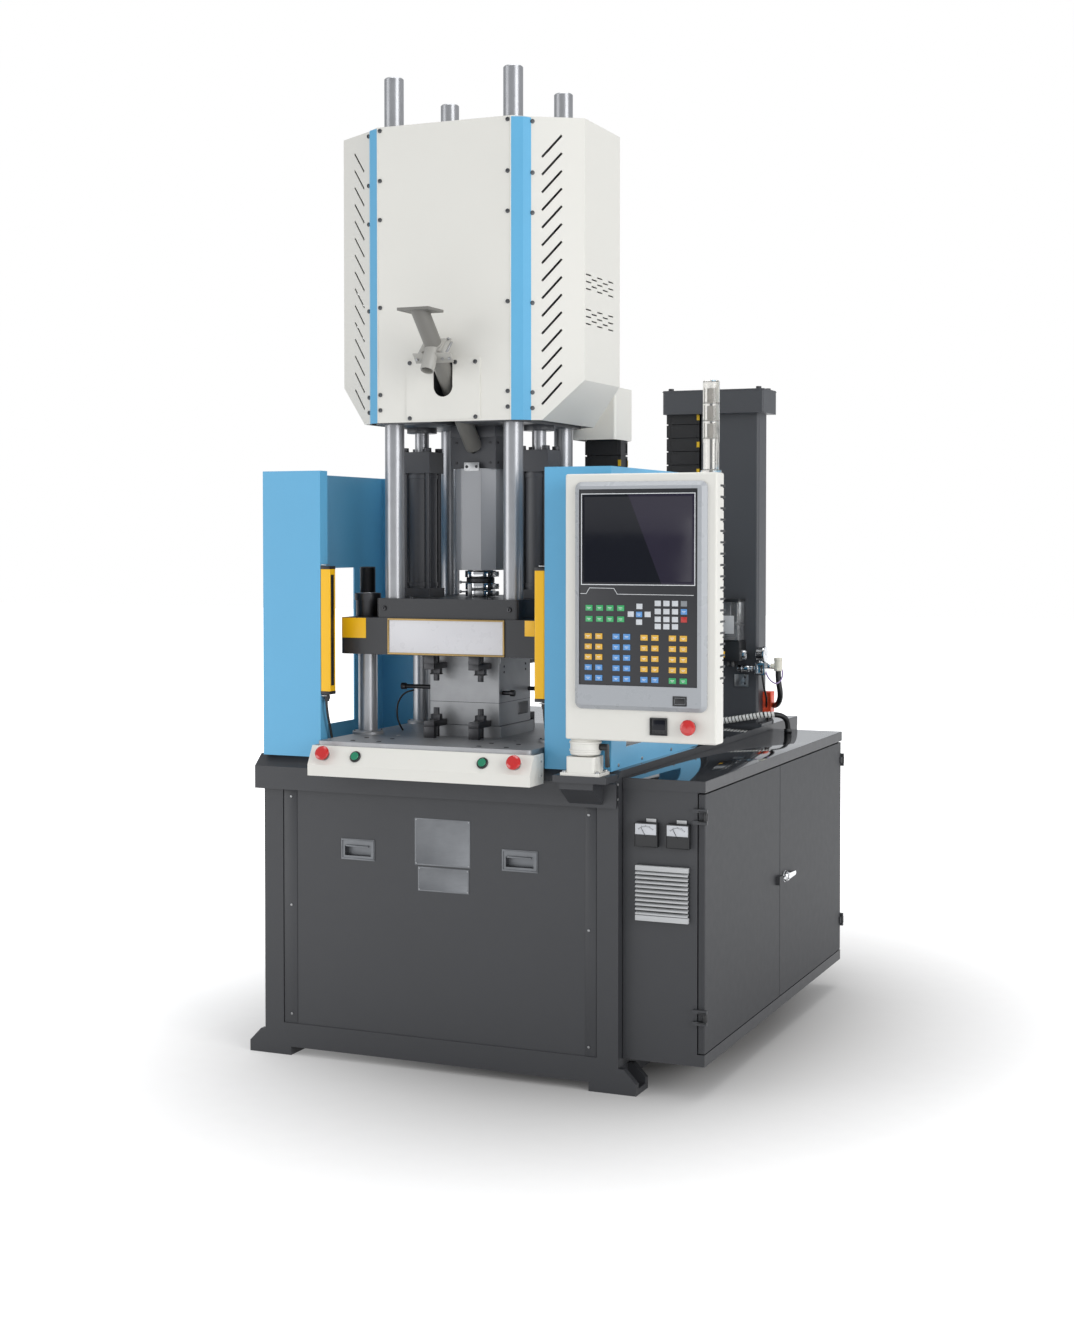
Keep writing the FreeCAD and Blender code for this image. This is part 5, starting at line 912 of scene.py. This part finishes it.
codes = {"green": "3FAA68", "white": "CDD0D4", "yellow": "E2B145", "blue": "5E96D2",
         "grey": "84888D", "red": "B8332F"}
keys = {colour: [] for colour in codes}
for x in (496, 524.9, 553.1, 582):
    keys["green"] += [(x, 1276.5), (x, 1248.5)]
keys["white"] += [(632.5, 1281.8), (609.3, 1262), (654.6, 1261.9), (631.6, 1242.1)]
keys["blue"].append((631.6, 1261.5))
keys["white"] += [(x, z) for z in (1290, 1269.7, 1250, 1232) for x in (681.5, 704.4, 727.2)]
for colour, z in (("grey", 1290), ("blue", 1269.7), ("red", 1250)):
    keys[colour].append((750.6, z))
blocks = (((493.8, 522.8), "yyybb", 1204.5, 1098.5), ((569.7, 598.3), "bbbbb", 1204.5, 1097.5),
          ((645, 674), "yyyyb", 1203, 1097), ((720.5, 749.3), "yyyyg", 1202.7, 1096))
shades = {"y": "yellow", "b": "blue", "g": "green"}
for pair, letters, high_z, low_z in blocks:
    for step, letter in enumerate(letters):
        keys[shades[letter]] += [(x, high_z + (low_z - high_z) * step / 4) for x in pair]
for colour, places in keys.items():
    small = [p for p in places if p[0] > 600 and p[1] > 1225]
    large = [p for p in places if p not in small]
    tops = []
    for half_wide, half_high, spots in ((8.1, 6.9, small), (9.4, 7.1, large)):
        if spots:
            key = block((-half_wide, -half_high, 0), (half_wide, half_high, 1.3))
            key = sink(key, UP, 1.4, -0.5)
            tops.append(set_out(key, [aim((x, face, z), FRONT) for x, z in spots]))
    finish = moulded(colour + "_key", "black_plastic", codes[colour], 0.36, grain_mm=0.6,
                     depth=0.1)
    settle(tops, colour + "_keys", finish, "panel", edge=0.4)
marks = []
for x, z in keys["green"] + keys["yellow"] + keys["blue"]:
    marks += [block((x - 5, face - 2.1, z + 0.5), (x + 5, face - 1.6, z + 1.6)),
              block((x - 3, face - 2.1, z - 2.6), (x + 3, face - 1.6, z - 1.6))]
settle(marks, "key_marks", PRINT, "panel", edge=0)

usb = frame_of((722, -981, 1033), (759, -979.2, 1058), 4)
usb.append(block((727, -980.2, 1038), (754, -979.2, 1053)))
settle(usb, "data_port", ABS, "panel", edge=0.6)
heat = frame_of((656.6, -969, 956.3), (702.7, -963.6, 1000.9), 3)
heat.append(block((659, -966.4, 959), (700.5, -963.6, 998.5)))
heat += [block((662 + 10 * k, -967.6, 961.5), (669 + 10 * k, -966.2, 966)) for k in range(4)]
dashes = [block((831.4, -937, 1099.8 + 28.4 * k), (832.3, -896.5, 1105.2 + 28.4 * k))
          for k in range(18)]
settle(dashes, "housing_vent_slots", ABS, "panel", edge=0)
settle(heat, "temperature_controller", ABS, "panel", edge=0.5)
dial = block((663, -967, 970), (697, -966.2, 995))
settle(dial, "controller_window", GLASS, "panel", edge=0.2)
skirt = spun([(8.3, 4.6), (14.4, 4.6), (14.4, 0.1), (16, 0.1), (16, 5.2), (8.3, 5.2), (8.3, 4.6)])
settle(stood(skirt, (762, -963.5, 980), FRONT), "panel_stop_collar", ABS, "panel", edge=0)
back = grid((460, 628, 796), -883.5, (960, 1280, 1595), BACK)
row("housing_back_screws", screw_head(4, 2.4), back, ZINC, "panel")
lid = sink(block((500, -883.6, 1010), (756, -881.8, 1560)), BACK, 10, 0.6)
settle(lid, "housing_back_lid", WHITE, "panel", edge=0.5)

# ----- signal lamp
# A clear acrylic tube and foot over three stacked lamps. Each lamp is a pale reflector on a
# stem, with three thin wires round it.

LENS = moulded("clear_lamp_tube", "lens_plastic", "E9E7E2", 0.10, depth=0.02,
               Transmission_Weight=0.9)
INSIDE = moulded("pale_lamp_core", "lens_plastic", "9A9792", 0.30, depth=0.1)
coat(LENS, "signal_lamp")
stack = []
for z in (1702, 1746, 1790):
    stack.append(spun([(0, z), (17, z), (17, z + 3), (7, z + 4), (7, z + 38), (0, z + 38)]))
    stack += [upright(1.2, 13 * cos(a), 13 * sin(a), z + 3, z + 40, sides=8)
              for a in (0.5, 2.6, 4.7)]
settle(stood(joined(stack), (803, -923.5, 0)), "lamp_core", INSIDE, "panel", edge=0)

# ----- grease unit and gauge
# A clear acrylic reservoir, part full, stands on a black pump body on the tower. Silver
# fittings lead to a glycerine gauge and a nylon elbow, where the black pressure hose begins.

CLEAR = moulded("clear_acrylic_reservoir", "clear_plastic", "E6E8EA", 0.08, depth=0.02,
                Transmission_Weight=0.92)
GREASE = moulded("grey_grease", "black_plastic", "4A4C50", 0.30, depth=0.6)
NYLON = moulded("natural_nylon", "white_paint", "DDD9CA", 0.32, grain_mm=1.6)
PURPLE = moulded("purple_polyurethane_tube", "clear_plastic", "9C86B4", 0.24, depth=0.05)
coat(CLEAR, "grease_unit")
coat(BRIGHT, "pressure_gauge")
body = [block((398.6, 380.8, 1059.6), (475.4, 453.2, 1122.4)),
        upright(14, 437, 420, 1040, 1060), block((401, 381, 1122), (473, 449, 1128))]
settle(body, "grease_pump_body", ABS, edge=1.5)
fill = block((405, 386.5, 1123), (469, 444.5, 1176))
settle(fill, "grease_fill", GREASE, edge=3)
inside = [upright(5, 437, 415, 1128, 1250), upright(26, 437, 415, 1180, 1184)]
settle(inside, "follower_and_rod", DULL, edge=0.4)
lid = sink(block((400.5, 380, 1250), (473.5, 449.5, 1259.5)), UP, 8, 2)
settle(lid, "reservoir_lid", ABS, edge=2)
label = block((404, 380.2, 1148), (457, 381.6, 1206))
settle(label, "bare_reservoir_label", PALE_GREY, edge=0.2)
tag = block((411, 379.6, 1072), (427, 380.9, 1091))
settle(tag, "bare_pump_tag", YELLOW, edge=0.2)
valves = [rod(radius, (left, y, z), (right, y, z)) for radius, left, right, y, z in (
    (17, 464, 486, 418, 1080), (14.5, 486, 489, 418, 1080), (11, 458, 496, 424, 1035),
    (13, 470, 474, 424, 1035))]
settle(valves, "metering_valves", BRIGHT, edge=1)
hub_y, hub_z = 429.5, 1082
can = spun([(0, -14), (21, -14), (23, -12), (23, 6), (26, 7.5), (26, 14), (23.6, 15.5),
            (22.4, 13.5), (0, 13.5)])
settle(stood(can, (534, hub_y, hub_z), RIGHT), "gauge_case", BRIGHT, edge=0.3)
face = spun([(0, 13.6), (22.2, 13.6), (22.2, 13.9), (0, 13.9)])
settle(stood(face, (534, hub_y, hub_z), RIGHT), "gauge_dial", DIAL, edge=0)
hands = []
for k in range(9):
    a = radians(225 - 33.75 * k)
    ends = [(548.2, hub_y + far * cos(a), hub_z + far * sin(a)) for far in (17, 20.5)]
    hands.append(rod(0.5, *ends, sides=6))
hands += [rod(0.8, (548.4, 433, 1078), (548.4, 416, 1095), sides=6),
          rod(2.4, (547.9, hub_y, hub_z), (549, hub_y, hub_z), sides=16)]
settle(hands, "gauge_hand_and_marks", ABS, edge=0)
block_nuts = [rod(11, (x, 429.5, 1036), (x + 9, 429.5, 1036), sides=6) for x in (478, 494, 508)]
block_nuts += [sink(block((517, 413, 1015), (551, 446, 1055)), FRONT, 8, 1.5),
               rod(8.5, (551, 429.5, 1044), (566, 429.5, 1044), sides=6)]
settle(block_nuts, "gauge_fittings", BRIGHT, edge=0.8)
elbow = [upright(12.6, 590, 429.5, 1032, 1069), rod(9, (566, 429.5, 1044), (580, 429.5, 1044)),
         upright(14.5, 590, 429.5, 1029.8, 1040, sides=6),
         upright(14, 590, 429.5, 1062, 1072, sides=10)]
settle(elbow, "nylon_elbow", NYLON, edge=1.2)
holes = [rod(4, (473, 440, z), (473, 460, z)) for z in (984, 1004)]
plate = [cut(block((438, 449, 974), (484, 452, 1014)), *holes),
         block((455, 428, 1012), (480, 452, 1015))]
settle(plate, "gauge_bracket", ZINC, edge=0.5)


def round_hose(name, points, radius, finish, node=None):
    """A hose as one smooth tube along its points in mm; it may stand for a CAD hose."""
    line = bpy.data.curves.new(name, "CURVE")
    line.dimensions = "3D"
    line.bevel_depth, line.bevel_resolution, line.use_fill_caps = radius / 1000, 6, True
    run = line.splines.new("NURBS")
    run.points.add(len(points) - 1)
    for knot, place in zip(run.points, points):
        knot.co = [c / 1000 for c in place] + [1]
    run.order_u, run.use_endpoint_u, run.resolution_u = 3, True, 12
    hose = bpy.data.objects.new(name, line)
    show(hose)
    line.materials.append(finish)
    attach(hose, "machine_base")
    if node:
        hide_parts(node)


round_hose("pressure_hose_run", [
    (590, 429.5, 1029.5), (590, 429.5, 1000), (596, 437.5, 956), (584, 465.5, 928),
    (560, 515.5, 912), (536, 559.5, 907), (516, 579.5, 896), (516, 579.5, 861.5)],
    9, RUBBER, "pressure_hose")
cable = [(338.5, 411.5, 862), (380, 411.5, 862), (422, 413.5, 866), (478, 419.5, 876),
         (538, 431.5, 886), (582, 449.5, 888), (602, 469.5, 878), (608, 483.5, 856),
         (608, 483.5, 828.5)]
round_hose("wrapped_cable_core", cable, 8.6, RUBBER, "wrapped_cable")
ferrules = [upright(12.5, 516, 579.5, 861, 876, sides=6),
            upright(13.5, 608, 483.5, 828.6, 840, sides=6)]
settle(ferrules, "hose_ferrules", ABS, edge=0.8)

# Spiral wrap: a flat nylon strip wound round the cable bundle, with a gap at every turn.
WRAP = moulded("spiral_nylon_wrap", "wrapped_sleeve", "E2E2DE", 0.36, grain_mm=2.0, depth=0.1)
middle = [Vector(p) for p in cable[:6]]
lengths = [(b - a).length for a, b in zip(middle, middle[1:])]
bands, along = [], 6.0
while along < sum(lengths) - 4:
    rest, piece = along, 0
    while rest > lengths[piece]:
        rest -= lengths[piece]
        piece += 1
    way = (middle[piece + 1] - middle[piece]).normalized()
    bands.append(aim(middle[piece] + way * rest, way + Vector((0, 0, 0.16))))
    along += 11.5
row("spiral_wrap", sleeve(8.4, 10, -4, 4, sides=20), bands, WRAP)
round_hose("thin_purple_tube", [
    (548, 425, 1030), (560, 415, 1005), (588, 418, 985), (604, 432, 1006), (602, 436, 1040),
    (578, 434, 1052), (556, 430, 1050)], 2.2, PURPLE)
round_hose("thin_black_tube", [
    (534, 440, 1016), (536, 446, 980), (540, 470, 940), (530, 500, 915), (524, 530, 885),
    (524, 540, 861)], 3.2, RUBBER)
round_hose("mould_cable", [
    (-188, -613, 1019), (-215, -613, 1015), (-240, -613, 985), (-244, -612, 945),
    (-236, -608, 915), (-230, -600, 901.5)], 2.6, RUBBER)
ORANGE = moulded("orange_relay_cover", "red_plastic", "E8502C", 0.34)
relay = block((516.2, 505, 888), (544, 547, 955))
settle(sink(relay, FRONT, 4, 1.5), "orange_relay_cover", ORANGE, edge=2)
